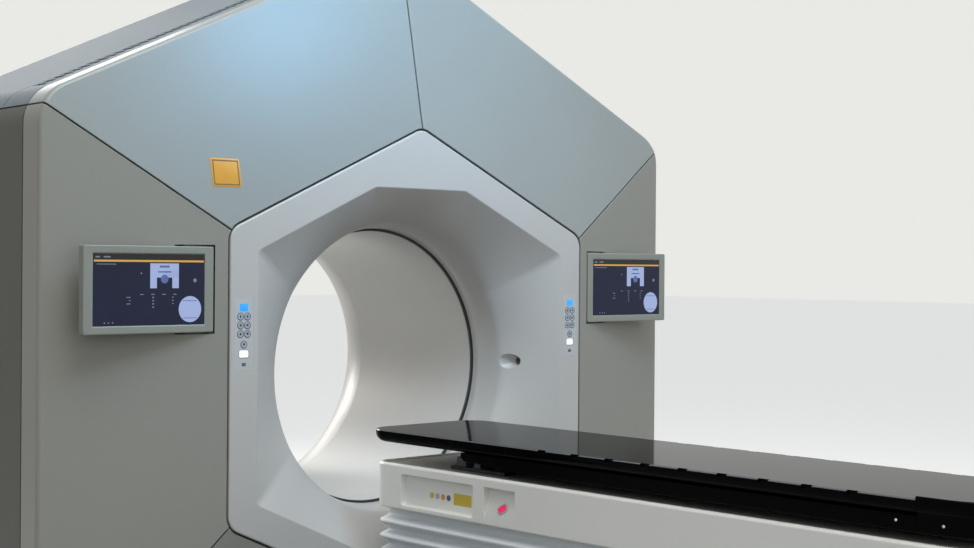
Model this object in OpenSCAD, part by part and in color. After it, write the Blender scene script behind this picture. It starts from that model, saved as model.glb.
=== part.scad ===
// Ring gantry radiotherapy scanner with patient couch
// Left and right are as seen by someone who faces the bore. The gantry and the couch are drawn about the bore
// axis: X to the right, Y back from the front plane of the bezel, Z up from the axis.

/* [Gantry covers] */
// Height of the bore axis above the floor
axis_h = 1120; // [1100:10:1200]
// Depth from the front plane to the back plane
gantry_d = 1190; // [1170:10:1260]
// Depth of the ring plane behind the front plane
ring_y = 620; // [600:5:640]
// Half of the overall width
half_w = 1415; // [1390:5:1460]
// Height of the roof ridge above the axis, before rounding
ridge_h = 1548; // [1520:4:1590]
// Drop of the roof for each millimetre sideways
roof_pitch = 0.465; // [0.44:0.005:0.49]
// Rounding of the shoulders
shoulder_r = 140; // [100:5:180]
// Rounding of the ridge
ridge_r = 100; // [60:5:140]
// How far the front covers fall back from the bezel to their folded edge
face_drop = 132; // [110:2:150]
// Rounding of the folded edges
edge_r = 18; // [14:1:26]
// Depth at which the front covers end and the roof begins
front_d = 267; // [250:1:300]
// Depth of the rear covers
rear_d = 40; // [30:1:60]
// Thickness of the cover skins
skin = 8; // [6:0.5:12]
// Open joint between two covers
joint_w = 4; // [3:0.5:6]
// Thickness of the floor plate
floor_plate_t = 20; // [16:1:30]

/* [Front bezel] */
// Half width across the upright sides of the hexagon
bezel_half_w = 814; // [790:2:830]
// Half height of the upright sides
bezel_side_h = 485; // [460:5:500]
// Rounding of the hexagon corners
bezel_corner_r = 60; // [40:2:80]
// Width of the flat band round the funnel
band_w = 107; // [100:1:120]
// Height at which the funnel mouth is cut flat above and below the axis
mouth_h = 647; // [635:1:660]
// Shadow gap between the bezel and the covers
bezel_gap = 8; // [5:1:12]
// Thickness of the bezel moulding
bezel_t = 10; // [8:1:12]
// Depth of the rim that turns back behind the band
rim_d = 70; // [50:5:90]
// Depth at which the funnel has run into the bore
throat_d = 156; // [140:2:180]
// Narrowing of the throat for each millimetre of depth
throat_taper = 0.195; // [0.15:0.005:0.22]

/* [Bore] */
// Radius of the bore
bore_r = 500; // [480:2:520]
// Thickness of the bore tube
bore_t = 8; // [6:1:10]
// Depth of the seal between bezel and tube
seal_d = 289; // [280:1:310]
// Width of the seal
seal_w = 7; // [5:1:12]
// Radius of the outward flare at the back
flare_r = 120; // [100:5:140]
// Width of the flat flange round the flare
flange_w = 20; // [15:1:40]

/* [Keypads] */
// Width of a keypad
keypad_w = 72; // [68:1:76]
// Height of a keypad
keypad_h = 240; // [232:1:250]
// Height of the keypad centre above the axis
keypad_z = 145; // [135:1:155]
// Thickness of a keypad
keypad_t = 13; // [12:0.5:15]
// Radius of a round key
key_r = 10.5; // [9:0.5:11]
// Distance between two keys of a pair
key_gap = 27; // [25:1:29]
// Distance between rows of keys
key_pitch = 28.5; // [27.5:0.5:30]
// Width of the lit key
lit_key_w = 36; // [30:1:38]
// Height of the lit key
lit_key_h = 24; // [20:1:26]
// Travel of a key
key_travel = 1.6; // [1:0.1:2]

/* [Monitors] */
// Width of a monitor housing
monitor_w = 461; // [440:1:480]
// Height of a monitor housing
monitor_h = 275; // [255:1:290]
// Thickness of a monitor housing
monitor_t = 30; // [26:1:34]
// Distance of the monitor centre from the axis
monitor_x = 1098; // [1090:1:1105]
// Height of the monitor centre above the axis
monitor_z = 291; // [280:1:300]
// Depth of the monitor face behind the front plane
monitor_y = 10; // [6:1:14]
// Width of the screen
screen_w = 395; // [370:1:410]
// Height of the screen
screen_h = 223; // [205:1:235]

/* [Roof vents] */
// Length of a vent slot along the slope
slot_l = 23; // [18:1:26]
// Depth of a vent slot from front to back
slot_d = 84; // [70:1:95]
// Distance between slots along the slope
slot_pitch = 34; // [32:1:40]

/* [Turning drum] */
// Inner radius of the drum
drum_r = 530; // [524:1:540]
// Wall thickness of the drum
drum_t = 25; // [20:1:30]
// Distance of the drum's front end before the ring plane
drum_front = 190; // [170:5:210]
// Distance of the drum's back end behind the ring plane
drum_back = 270; // [255:5:280]
// Thickness of the drum flanges
drum_flange_t = 30; // [24:1:36]
// Radius of the big flange, which turns in the bearing
bearing_r = 800; // [780:5:820]
// Radial width of the bearing race
race_w = 60; // [50:5:70]
// Running clearance of the moving parts
run_gap = 0.3; // [0.2:0.05:0.4]

/* [Couch] */
// Height of the couch top above the bore axis, so below it
couch_z = -193; // [-205:1:-180]
// Width of the couch top
couch_w = 504; // [490:2:520]
// Length of the couch top
couch_l = 2450; // [2350:10:2500]
// Thickness of the couch top
couch_t = 43; // [38:1:46]
// Rounding of the head end in plan
couch_head_r = 90; // [70:5:110]
// Rounding of the foot end in plan
couch_foot_r = 180; // [150:5:200]
// Distance between indexing notches
notch_pitch = 146; // [140:1:150]
// Number of indexing notches on each side
notch_n = 9; // [6:1:9]
// Height of the channel frame under the couch top
frame_h = 41; // [36:1:46]
// Height of the couch body
body_h = 154; // [146:1:165]
// Length of the couch body
body_l = 2310; // [2250:10:2360]
// Gap between the channel frame and the couch body
under_gap = 25; // [22:1:32]
// Height of the couch base
base_h = 110; // [90:5:130]
// Number of bellows folds
fold_n = 10; // [8:1:12]
// Depth of a bellows fold
fold_d = 36; // [28:1:40]

/* [Hidden] */
$fn = 96;
eps = 0.1;
far = 3000;

// Derived outline values
slope_l = sqrt(1 + roof_pitch * roof_pitch);
base_z = -(axis_h - floor_plate_t);
floor_z = -axis_h;
fall = atan(face_drop / (half_w - bezel_half_w));
fold_y = tan(fall) * (half_w - edge_r - bezel_half_w) + edge_r / cos(fall);
bezel_tip = bezel_side_h + roof_pitch * bezel_half_w;
low_drop = face_drop * (-base_z - bezel_tip) / (-base_z - bezel_tip + roof_pitch * half_w);
back_y = gantry_d - rear_d;
roof_y0 = front_d + joint_w;
roof_y1 = back_y - joint_w;
hoop_w = 30;
hoop_y0 = 160;
seat_gap = 0.15;

// Derived values of the drum and its bearing
drum_y0 = ring_y - drum_front;
drum_y1 = ring_y + drum_back;
drum_out = drum_r + drum_t;
race_y0 = drum_y1 - drum_flange_t + 5;
race_y1 = drum_y1 + 15;
stand_t = 55;
stand_hole_r = bearing_r - 80;
head_in = drum_out + 165;
head_half = 260;
head_top = bearing_r + 210;
leaf_top = head_in;
stop_in = drum_out + 85;
stop_out = stop_in + 290;
stop_half = 300;
tube_x = drum_out + 205;
tube_r = 110;

// Derived values of the keypads, from the top row down
keypad_x = bezel_half_w - band_w / 2;
key_top_z = 57;
key_face = 1;

// Derived values of the couch
slab_bottom = couch_z - couch_t;
web_t = 12;
flange_w_c = 50;
flange_x = couch_w / 2 - 12;
channel_z = slab_bottom - frame_h;
body_top = channel_z - under_gap;
body_bottom = body_top - body_h;
body_y1 = -88;
body_y0 = body_y1 - body_l;
body_wall = 14;
deck_t = 8;
deck_top = body_top - 1;
cap_l = 240;
base_top = floor_z + base_h;
column_y = [body_y1 - 560, body_y0 + 560];
column_half = 125;
column_wall = 8;
stop_y = body_y1 - 620;
recess_y0 = body_y1 - 669;
recess_l = 146;
recess_h = 107;
recess_top = body_top - 31;
recess_deep = 30;
label_y0 = body_y1 - 473;
label_l = 366;
label_deep = 22;

// Plane geometry
function unit(v) = v / norm(v);
function corner(a, b, c, r, n) = r <= 0 ? [b] :
  let (
    u = unit(a - b), v = unit(c - b), half = acos(u * v) / 2,
    centre = b + unit(u + v) * r / sin(half),
    p = b + u * r / tan(half) - centre,
    start = atan2(p.y, p.x)
  )
  [for (i = [0:n]) let (t = start + (180 - 2 * half) * i / n) centre + r * [cos(t), sin(t)]];
function rounded(pts, radii, n = 6) = let (m = len(pts))
  [for (i = [0:m - 1]) each corner(pts[(i + m - 1) % m], pts[i], pts[(i + 1) % m], radii[i], n)];

// Cover outline, set in by a distance, with the bottom edge at a height
function house(inset, bottom = base_z) = let (
    w = half_w - inset, top = ridge_h - slope_l * inset, eaves = top - roof_pitch * w
  )
  rounded(
    [[-w, bottom], [w, bottom], [w, eaves], [0, top], [-w, eaves]],
    [0, 0, shoulder_r - inset, ridge_r - inset, shoulder_r - inset]
  );

// Bezel hexagon, set out by a distance
function hexagon(out) = let (
    w = bezel_half_w + out, s = bezel_side_h + (slope_l - roof_pitch) * out, tip = s + roof_pitch * w
  )
  rounded(
    [[w, -s], [w, s], [0, tip], [-w, s], [-w, -s], [0, -tip]],
    [for (i = [0:5]) bezel_corner_r + out], 4
  );

module at_axis() translate([0, -ring_y, axis_h]) children();
module along_y(y0, y1) translate([0, y1, 0]) rotate([90, 0, 0]) linear_extrude(y1 - y0) children();
module along_x(x0, x1) translate([x0, 0, 0]) rotate([90, 0, 90]) linear_extrude(x1 - x0) children();
module ring_y_axis(y0, y1, r0, r1) along_y(y0, y1) difference() { circle(r1, $fn = 180); circle(r0, $fn = 180); }
module on_side(side) if (side < 0) mirror([1, 0, 0]) children(); else children();
module rounded_rect(w, h, r) {
  square([w - 2 * r, h], center = true);
  square([w, h - 2 * r], center = true);
  for (x = [-1, 1], z = [-1, 1]) translate([x * (w / 2 - r), z * (h / 2 - r)]) circle(r);
}

// Solid behind the folded front covers, set in from the outer skin by a distance
module face_block(inset, y_end, bottom) {
  r = edge_r - inset;
  shift = inset / cos(fall);
  hull() {
    along_y(shift, shift + eps) polygon(hexagon(0));
    for (i = [0:3]) let (a = fall + (90 - fall) * i / 3, y = fold_y - r * cos(a))
      along_y(y, y + eps) polygon(house(edge_r - r * sin(a), bottom));
    along_y(y_end - eps, y_end) polygon(house(inset, bottom));
    along_y(low_drop + shift, low_drop + shift + eps) polygon([[-1, bottom], [1, bottom], [0, bottom + 1]]);
  }
}

// Folded cover of one region: children draw the region with its joints trimmed off, then in full
module face_panel() difference() {
  intersection() {
    face_block(0, front_d, base_z);
    along_y(-1, front_d + 1) children(0);
  }
  intersection() {
    face_block(skin, front_d + 1, base_z - 1);
    along_y(0, front_d + 2) children(1);
  }
  along_y(-1, front_d) polygon(hexagon(bezel_gap));
}

module house_ring(inset0, inset1) difference() {
  polygon(house(inset0));
  polygon(house(inset1, base_z - 1));
}

// Regions between the joints, for the right half
upper_corner = [bezel_half_w, bezel_side_h];
lower_corner = [bezel_half_w, -bezel_side_h];
upper_run = unit([1, slope_l - roof_pitch]);
lower_run = unit([half_w, base_z] - lower_corner);
module joint_strip(p, run, gap) if (gap > 0) translate(p) rotate(atan2(run.y, run.x))
  translate([-far / 2, -gap / 2]) square([far, gap]);
module upper_region(gap = joint_w) difference() {
  polygon([[0, 0], upper_corner, upper_corner + far * upper_run, [0, far]]);
  joint_strip([0, far / 4], [0, 1], gap);
  joint_strip(upper_corner + far / 2 * upper_run, upper_run, gap);
}
module side_region(gap = joint_w) difference() {
  polygon([[0, 0], lower_corner, lower_corner + far * lower_run, upper_corner + far * upper_run, upper_corner]);
  joint_strip(upper_corner + far / 2 * upper_run, upper_run, gap);
  joint_strip(lower_corner + far / 2 * lower_run, lower_run, gap);
}
module lower_region(gap = joint_w) difference() {
  polygon([[0, 0], [0, -far], lower_corner + far * lower_run, lower_corner]);
  joint_strip([0, -far / 4], [0, -1], gap);
  joint_strip(lower_corner + far / 2 * lower_run, lower_run, gap);
}

// Front covers
module panel_upper(side) color("lightsteelblue") at_axis() on_side(side) face_panel() {
  upper_region();
  upper_region(0);
}
module panel_lower(side) color("lightgray") at_axis() on_side(side) face_panel() {
  lower_region();
  lower_region(0);
}

pocket_gap = 6;
pocket_y = monitor_y + monitor_t;
pocket_wall = 6;
module panel_side(side) color("lightgray") at_axis() on_side(side) difference() {
  union() {
    face_panel() {
      side_region();
      side_region(0);
    }
    intersection() {
      face_block(0, front_d, base_z);
      translate([monitor_x, 0, monitor_z])
        along_y(0, pocket_y + pocket_wall) difference() {
          rounded_rect(monitor_w + 2 * (pocket_gap + pocket_wall), monitor_h + 2 * (pocket_gap + pocket_wall), 12);
          translate([-monitor_w / 2 + (pocket_y + skin) / tan(fall) - (monitor_x - monitor_w / 2 - bezel_half_w), -monitor_h])
            square([monitor_w, 2 * monitor_h]);
        }
    }
  }
  translate([monitor_x, 0, monitor_z])
    along_y(-1, pocket_y) rounded_rect(monitor_w + 2 * pocket_gap, monitor_h + 2 * pocket_gap, 10);
}

// Roof with its row of vent slots behind the front joint
slot_y = roof_y0 + 32;
groove_y = slot_y + slot_d + 22;
module roof(side) color("gainsboro") at_axis() on_side(side) difference() {
  along_y(roof_y0, roof_y1) intersection() {
    house_ring(0, skin);
    upper_region();
  }
  for (s = [ridge_r : slot_pitch : (half_w - shoulder_r) * slope_l])
    translate([s / slope_l, slot_y, ridge_h - roof_pitch * s / slope_l])
      rotate([0, atan(roof_pitch), 0])
        translate([0, 0, -3 * skin]) cube([slot_l, slot_d, 4 * skin]);
  along_y(groove_y, groove_y + joint_w) difference() {
    polygon(house(-1));
    polygon(house(skin / 2, base_z - 1));
  }
}
module flank(side) color("gray") at_axis() on_side(side) along_y(roof_y0, roof_y1) intersection() {
  house_ring(0, skin);
  side_region();
}

// Rear covers, one for each half, round the rear bezel
rear_hole_r = bore_r + flare_r + flange_w;
module rear_cover(side) color("gainsboro") at_axis() on_side(side) intersection() {
  difference() {
    hull() {
      along_y(back_y, back_y + eps) polygon(house(0));
      for (i = [0:3]) let (a = 30 * i, y = gantry_d - edge_r * (1 - sin(a)))
        along_y(y - eps, y) polygon(house(edge_r * (1 - cos(a))));
    }
    along_y(back_y - 1, gantry_d - skin) polygon(house(skin, base_z - 1));
    along_y(back_y - 1, gantry_d + 1) circle(rear_hole_r + run_gap, $fn = 180);
  }
  along_y(back_y - 1, gantry_d + 1) translate([joint_w / 2, -far]) square([far, 2 * far]);
}

// Frame that carries the covers: a hexagon tube behind the bezel, a hoop on struts, and a rear hoop,
// bolted together from sectors that meet at the corners of the hexagon
strut_w = 60;
sector_gap = 0.3;
sector_turn = atan2(bezel_side_h, bezel_half_w);
module cover_frame() color("dimgray") at_axis() difference() {
  union() {
    difference() {
      union() {
        intersection() {
          face_block(skin, front_d, base_z);
          along_y(0, hoop_y0 + strut_w) difference() {
            polygon(hexagon(2 * bezel_gap + 4));
            polygon(hexagon(seat_gap));
          }
        }
        along_y(hoop_y0, roof_y0 + hoop_w) house_ring(skin, skin + hoop_w);
        along_y(hoop_y0, hoop_y0 + strut_w) intersection() {
          difference() {
            polygon(house(skin));
            polygon(hexagon(seat_gap));
          }
          union() {
            square([2 * far, strut_w], center = true);
            for (s = [-1, 1], a = [50, -50])
              rotate(90 + s * 90 - s * a) translate([0, -strut_w / 2]) square([far, strut_w]);
          }
        }
      }
      along_y(-1, rim_d + 1) polygon(hexagon(seat_gap));
    }
    along_y(roof_y1 - hoop_w, back_y + hoop_w - 8) house_ring(skin, skin + hoop_w);
  }
  for (a = [90, sector_turn, -sector_turn]) rotate([0, -a, 0])
    translate([-far, -1, -sector_gap / 2]) cube([2 * far, gantry_d + 1, sector_gap]);
}

// Front bezel: a funnel lofted from the cut hexagon mouth to the round bore
mouth_half_w = bezel_half_w - band_w;
mouth_tip = bezel_tip - slope_l * band_w;
function mouth(t) = min(
  mouth_half_w / max(abs(cos(t)), 0.001),
  mouth_tip / (abs(sin(t)) + roof_pitch * abs(cos(t))),
  mouth_h / max(abs(sin(t)), 0.001)
);
function throat(y) = bore_r + throat_taper * (seal_d - y);
function flare(y) = pow(1 - min(max(y, 0) / throat_d, 1), 1.3);
function funnel(t, y) = throat(y) + (mouth(t) - throat(0)) * flare(y) + max(0, 4 - y);

// Distance from the axis to a convex outline in one direction, and the directions through all its corners
function reach(outline, t) = let (m = len(outline)) min([for (i = [0:m - 1])
  let (p = outline[i], run = outline[(i + 1) % m] - p, out = [run.y, -run.x], f = out * [cos(t), sin(t)])
  if (f > 0.001 * norm(out)) out * p / f]);
function bearing(p) = atan2(p.y, p.x);
function directions(outline, step) = let (m = len(outline)) [for (i = [0:m - 1])
  let (a = bearing(outline[i]), b = bearing(outline[(i + 1) % m]), turn = b < a ? b + 360 - a : b - a, k = ceil(turn / step))
  for (j = [0:k - 1]) a + turn * j / k];

// The moulding as one loop of sections: down the funnel, back up behind it, behind the band and round the rim
module funnel_shell(step) {
  inside = [0, 4, 16, 34, 56, 82, 112, throat_d, seal_d];
  outside = [seal_d, throat_d, 112, rim_d, 34, bezel_t];
  rim = [[-bezel_t, bezel_t], [-bezel_t, rim_d], [0, rim_d], [0, 3], [-3, 0]];
  turns = directions(hexagon(0), step);
  edge = [for (v = rim) let (outline = hexagon(v[0])) [for (t = turns) reach(outline, t)]];
  radii = concat(
    [for (y = inside) [for (t = turns) funnel(t, y)]],
    [for (y = outside) [for (t = turns) funnel(t, y) + bezel_t]],
    edge
  );
  depths = concat(inside, outside, [for (v = rim) v[1]]);
  n = len(turns);
  m = len(depths);
  polyhedron(
    [for (k = [0:m - 1], i = [0:n - 1]) [radii[k][i] * cos(turns[i]), depths[k], radii[k][i] * sin(turns[i])]],
    [for (k = [0:m - 1], i = [0:n - 1]) let (j = (i + 1) % n, q = (k + 1) % m)
      each [[k * n + i, q * n + i, k * n + j], [k * n + j, q * n + i, q * n + j]]]
  );
}

// The flared port in the right funnel wall, with its lens at the narrow end, looking across the bore
port_r = 17.5;
port_flare = 0.5;
port_l = 60;
port_lens_r = 12;
port_x = 586;
port_y = 110;
port_z = 5;
port_turn = 8;
boss_y0 = 48;
boss_y1 = 155;
module at_port() translate([port_x, port_y, port_z]) rotate([0, 0, 180 - port_turn]) rotate([0, 90, 0]) children();
module port_cone(grow, l0) translate([0, 0, -l0])
  cylinder(r1 = port_r + grow, r2 = port_r + grow + port_flare * (port_l + l0), h = port_l + l0);
module port_boss() difference() {
  at_port() port_cone(bezel_t, 8);
  translate([0, 0, port_z]) linear_extrude(8 * port_r, center = true) polygon([
    [0, boss_y0 - 80], [funnel(0, 0) + 60, boss_y0 - 80], [funnel(0, boss_y0) + 1, boss_y0],
    [funnel(0, boss_y1) + 1, boss_y1], [funnel(0, boss_y1) - 60, boss_y1 + 80], [0, boss_y1 + 80]
  ]);
}

module front_bezel() color("white") at_axis() difference() {
  union() {
    funnel_shell(6);
    port_boss();
  }
  at_port() port_cone(0, 0);
  for (x = [-1, 1]) translate([x * keypad_x, 0, keypad_z])
    along_y(-1, keypad_t + 1) square([keypad_w, keypad_h], center = true);
  translate([-20, 76, mouth_h - 120]) cube([26, 7, 60], center = true);
}
module port_lens() color("black") at_axis() at_port() cylinder(r = port_lens_r, h = 4);

module bore_seal() color("dimgray") at_axis() ring_y_axis(seal_d, seal_d + seal_w, bore_r + 1.5, bore_r + 20);
module bore_tube() color("white") at_axis() ring_y_axis(seal_d + seal_w, gantry_d - flare_r, bore_r, bore_r + bore_t);
module rear_bezel() color("white") at_axis() translate([0, gantry_d - flare_r, 0]) rotate([-90, 0, 0])
  rotate_extrude($fn = 180) polygon(concat(
    [for (i = [0:8]) let (a = 90 * i / 8) [bore_r + flare_r * (1 - cos(a)), flare_r * sin(a)]],
    [[rear_hole_r, flare_r], [rear_hole_r, flare_r - skin]],
    [for (i = [8:-1:0]) let (a = 90 * i / 8) [bore_r + bore_t + (flare_r - bore_t) * (1 - cos(a)), (flare_r - bore_t) * sin(a)]]
  ));

// Keypads: pairs of keys in joined rings, a single key, a lit key, and recesses for two lamps
key_recess = 1;
ring_r = key_r + 2.9;
single_z = key_top_z - 3 * key_pitch - 5.5;
lit_z = single_z - 31;
small_lamp_z = lit_z - 35;
big_lamp_z = key_top_z + 30;
function key_pos(i) = i <= 6
  ? [(i % 2 == 1 ? -1 : 1) * key_gap / 2, key_top_z - floor((i - 1) / 2) * key_pitch]
  : [0, i == 7 ? single_z : lit_z];
module key_shape(i, grow) {
  if (i == 8) rounded_rect(lit_key_w + 2 * grow, lit_key_h + 2 * grow, 5 + grow);
  else circle(key_r + grow);
}
module on_keypad(side) at_axis() translate([side * keypad_x, 0, keypad_z]) children();
module keypad(side) color("whitesmoke") on_keypad(side) difference() {
  along_y(0, keypad_t) square([keypad_w - 2 * run_gap, keypad_h - 2 * run_gap], center = true);
  along_y(-1, key_recess) for (i = [1:6]) translate(key_pos(i)) circle(ring_r);
  along_y(-1, key_recess) translate(key_pos(7)) circle(ring_r);
  along_y(-1, key_recess) translate(key_pos(8)) rounded_rect(lit_key_w + 5, lit_key_h + 5, 7);
  along_y(-1, key_recess) translate([0, big_lamp_z]) rounded_rect(34, 25, 3);
  along_y(-1, key_recess) translate([0, small_lamp_z]) circle(9);
  for (i = [1:8]) along_y(-1, keypad_t - 3) translate(key_pos(i)) key_shape(i, run_gap);
}
module key(side, i) color(i == 8 ? "white" : "darkgray") on_keypad(side)
  along_y(-key_face, keypad_t - 3 - key_travel - run_gap) translate(key_pos(i)) key_shape(i, 0);

// Monitors, flat to the viewer, the inner edge let into its pocket and the outer edge on a wedge bracket
monitor_lip = 2;
bracket_w = 200;
bracket_h = 120;
function face_y(x) = tan(fall) * (x - bezel_half_w);
module monitor(side) color("gray") at_axis() on_side(side) {
  difference() {
    translate([monitor_x, 0, monitor_z]) along_y(monitor_y, monitor_y + monitor_t) rounded_rect(monitor_w, monitor_h, 6);
    translate([monitor_x, 0, monitor_z]) along_y(monitor_y - 1, monitor_y + monitor_lip + 2)
      square([screen_w, screen_h], center = true);
  }
  translate([0, 0, monitor_z - bracket_h / 2]) linear_extrude(bracket_h) polygon([
    for (x = [monitor_x - 30, monitor_x - 30 + bracket_w]) [x, pocket_y - eps],
    for (x = [monitor_x - 30 + bracket_w, monitor_x - 30]) [x, face_y(x)]
  ]);
}
module screen(side) color("midnightblue") at_axis() on_side(side) translate([monitor_x, 0, monitor_z])
  along_y(monitor_y + monitor_lip, monitor_y + monitor_lip + 2) square([screen_w, screen_h], center = true);

// Welded stand with the hole for the motor, on the floor plate that also ties in the couch
stand_w = 1000;
stand_top = 950;
anchor_x = 1250;
anchor_y = [330, 1060];
anchor_r = 9;
couch_anchor_x = 190;
module gantry_frame() color("slategray") at_axis() difference() {
  union() {
    translate([skin - half_w, hoop_y0 - 10, floor_z]) cube([2 * (half_w - skin), gantry_d - hoop_y0 - 10, floor_plate_t]);
    translate([-flange_x, body_y1 - 20, floor_z]) cube([2 * flange_x, hoop_y0 - body_y1 + 30, floor_plate_t]);
    along_y(race_y1, race_y1 + stand_t) polygon([
      [-stand_w, base_z - eps], [stand_w, base_z - eps], [stand_w, -700], [900, 300], [stand_w / 2, stand_top],
      [-stand_w / 2, stand_top], [-900, 300], [-stand_w, -700]
    ]);
    for (x = [-1, 1]) along_x(x * 600 - 20, x * 600 + 20)
      polygon([[race_y1 + stand_t - eps, base_z - eps], [race_y1 + stand_t + 130, base_z - eps], [race_y1 + stand_t - eps, -250]]);
  }
  along_y(race_y1 - 1, race_y1 + stand_t + 1) circle(stand_hole_r, $fn = 180);
  for (x = [-anchor_x, anchor_x], y = anchor_y) translate([x, y, floor_z - 1]) cylinder(r = anchor_r, h = floor_plate_t + 2);
}
module bearing_race() color("silver") at_axis() difference() {
  ring_y_axis(race_y0, race_y1, bearing_r + run_gap, bearing_r + race_w);
  for (a = [0 : 30 : 330]) rotate([0, a, 0]) translate([bearing_r + race_w / 2, 0, 0])
    along_y(race_y0 - 1, race_y0 + 20) circle(9);
}
module motor_stator() color("peru") at_axis() difference() {
  ring_y_axis(race_y1 - 5, race_y1 + 45, stand_hole_r - 80, stand_hole_r - run_gap);
  for (a = [0 : 15 : 345]) rotate([0, a, 0]) translate([stand_hole_r - 40, race_y1 - 6, 0])
    translate([-30, 0, -8]) cube([60, 16, 16]);
}

// Turning drum with the windows for the beams and the flange that runs in the bearing
window_x = 110;
module rotor_drum() color("steelblue") at_axis() difference() {
  union() {
    ring_y_axis(drum_y0, drum_y1, drum_r, drum_out);
    ring_y_axis(drum_y0, drum_y0 + drum_flange_t, drum_r, drum_r + 170);
    ring_y_axis(drum_y1 - drum_flange_t, drum_y1, drum_r, bearing_r);
  }
  translate([-window_x, ring_y - 100, 0]) cube([2 * window_x, 200, drum_out + 50]);
  translate([0, ring_y - 80, -60]) cube([drum_out + 50, 160, 120]);
  translate([-drum_out - 50, ring_y - 80, -200]) cube([drum_out + 50, 160, 400]);
}
flange_face = drum_y1 - drum_flange_t;
module treatment_head() color("lightsteelblue") at_axis() difference() {
  along_y(drum_y0 + 40, flange_face) polygon([
    [-head_half, head_in], [head_half, head_in], [head_half, head_top - 110],
    [head_half - 60, head_top], [60 - head_half, head_top], [-head_half, head_top - 110]
  ]);
  translate([-80, ring_y - 80, head_in - 1]) cube([160, 160, 60]);
}
module collimator() color("dimgray") at_axis() difference() {
  union() {
    translate([-170, ring_y - 150, drum_out + 25]) cube([340, 300, leaf_top - drum_out - 25]);
    translate([-130, ring_y + 150 - eps, leaf_top - 80]) cube([260, flange_face - ring_y - 150 + eps, 60]);
  }
  for (i = [-7:7]) translate([-150, ring_y + 18 * i - 3, drum_out + 45]) cube([300, 6, 90]);
  translate([-70, ring_y - 70, drum_out]) cube([140, 140, 200]);
}
module beam_stop() color("darkgray") at_axis() along_y(ring_y - 120, flange_face)
  polygon([[-stop_half, -stop_in], [stop_half, -stop_in], [stop_half - 60, -stop_out], [60 - stop_half, -stop_out]]);
module imaging_tube() color("silver") at_axis() {
  translate([tube_x, 0, 0]) along_y(ring_y - 100, flange_face) circle(tube_r);
  translate([drum_out + 25, ring_y - 60, -50]) cube([120, 120, 100]);
}
module imaging_detector() color("darkslategray") at_axis() along_y(ring_y - 120, flange_face) intersection() {
  difference() { circle(drum_out + 70, $fn = 180); circle(drum_out + 20, $fn = 180); }
  polygon([[0, 0], [-far / 2, far / 4], [-far / 2, -far / 4]]);
}

// Couch outline in plan, set in by a distance
function slab(inset) = let (w = couch_w / 2 - inset, y0 = -couch_l + inset, y1 = -inset)
  rounded(
    [[-w, y0], [w, y0], [w, y1], [-w, y1]],
    [couch_foot_r - inset, couch_foot_r - inset, couch_head_r - inset, couch_head_r - inset], 12
  );

// Solid lofted through couch outlines, each level a height and the distance it is set in
module slab_loft(levels) {
  rings = [for (v = levels) [for (p = slab(v[1])) [p.x, p.y, v[0]]]];
  n = len(rings[0]);
  m = len(rings);
  polyhedron([for (r = rings) each r], concat(
    [[for (i = [0:n - 1]) i], [for (i = [n - 1:-1:0]) (m - 1) * n + i]],
    [for (k = [0:m - 2], i = [0:n - 1]) let (j = (i + 1) % n)
      each [[k * n + i, (k + 1) * n + i, k * n + j], [k * n + j, (k + 1) * n + i, (k + 1) * n + j]]]
  ));
}
tongue_in = 36;
cap_y = -couch_l + cap_l;
first_notch = -couch_l + cap_l + 181;
notch_w = 26;
notch_d = 9;
edge_drop = 5;

module couch_top() color("black") at_axis() difference() {
  slab_loft([[slab_bottom, 22], [couch_z - 18, 0], [couch_z - edge_drop, 0], [couch_z, edge_drop]]);
  translate([0, 0, slab_bottom - 1]) linear_extrude(couch_t + 2) difference() {
    translate([-couch_w, -2 * couch_l + cap_y]) square([2 * couch_w, 2 * couch_l]);
    polygon(slab(tongue_in));
  }
  for (x = [-1, 1], i = [0:notch_n - 1])
    translate([x * couch_w / 2, first_notch + i * notch_pitch, couch_z - 6]) cube([2 * notch_d, notch_w, 30], center = true);
}

// Channel frame under the couch top, which ends in the raised foot cap
cap_rise = 7;
taper_y0 = -692;
taper_y1 = -486;
module couch_frame() color("dimgray") at_axis() {
  difference() {
    slab_loft([[channel_z, 14], [couch_z - 30, 0], [couch_z, 0], [couch_z + cap_rise, 4]]);
    translate([-far / 2, cap_y, -far]) cube([far, far, 2 * far]);
    translate([0, 0, slab_bottom]) linear_extrude(couch_t + 20) polygon(slab(tongue_in - run_gap));
    translate([-flange_x + flange_w_c, -couch_l - 1, channel_z - 1])
      cube([2 * (flange_x - flange_w_c), couch_l, frame_h - web_t + 1]);
  }
  translate([-flange_x, cap_y - eps, slab_bottom - web_t]) cube([2 * flange_x, taper_y1 - cap_y, web_t]);
  for (x = [-flange_x, flange_x - flange_w_c]) along_x(x, x + flange_w_c) polygon([
    [cap_y - eps, channel_z], [taper_y0, channel_z], [taper_y1, slab_bottom - web_t + eps], [cap_y - eps, slab_bottom - web_t + eps]
  ]);
}

// Saddle that the channel frame slides on; it moves sideways on the deck
saddle_top = slab_bottom - web_t - run_gap;
saddle_y1 = -378;
saddle_x = flange_x - flange_w_c - run_gap;
module couch_saddle() color("black") at_axis() difference() {
  translate([-saddle_x, body_y0 + 100, deck_top + run_gap])
    cube([2 * saddle_x, saddle_y1 - body_y0 - 100, saddle_top - deck_top - run_gap]);
  for (x = [-90, 90]) translate([x - 40, body_y0 + 160, deck_top + 12])
    cube([80, saddle_y1 - body_y0 - 220, saddle_top - deck_top]);
}

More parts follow.
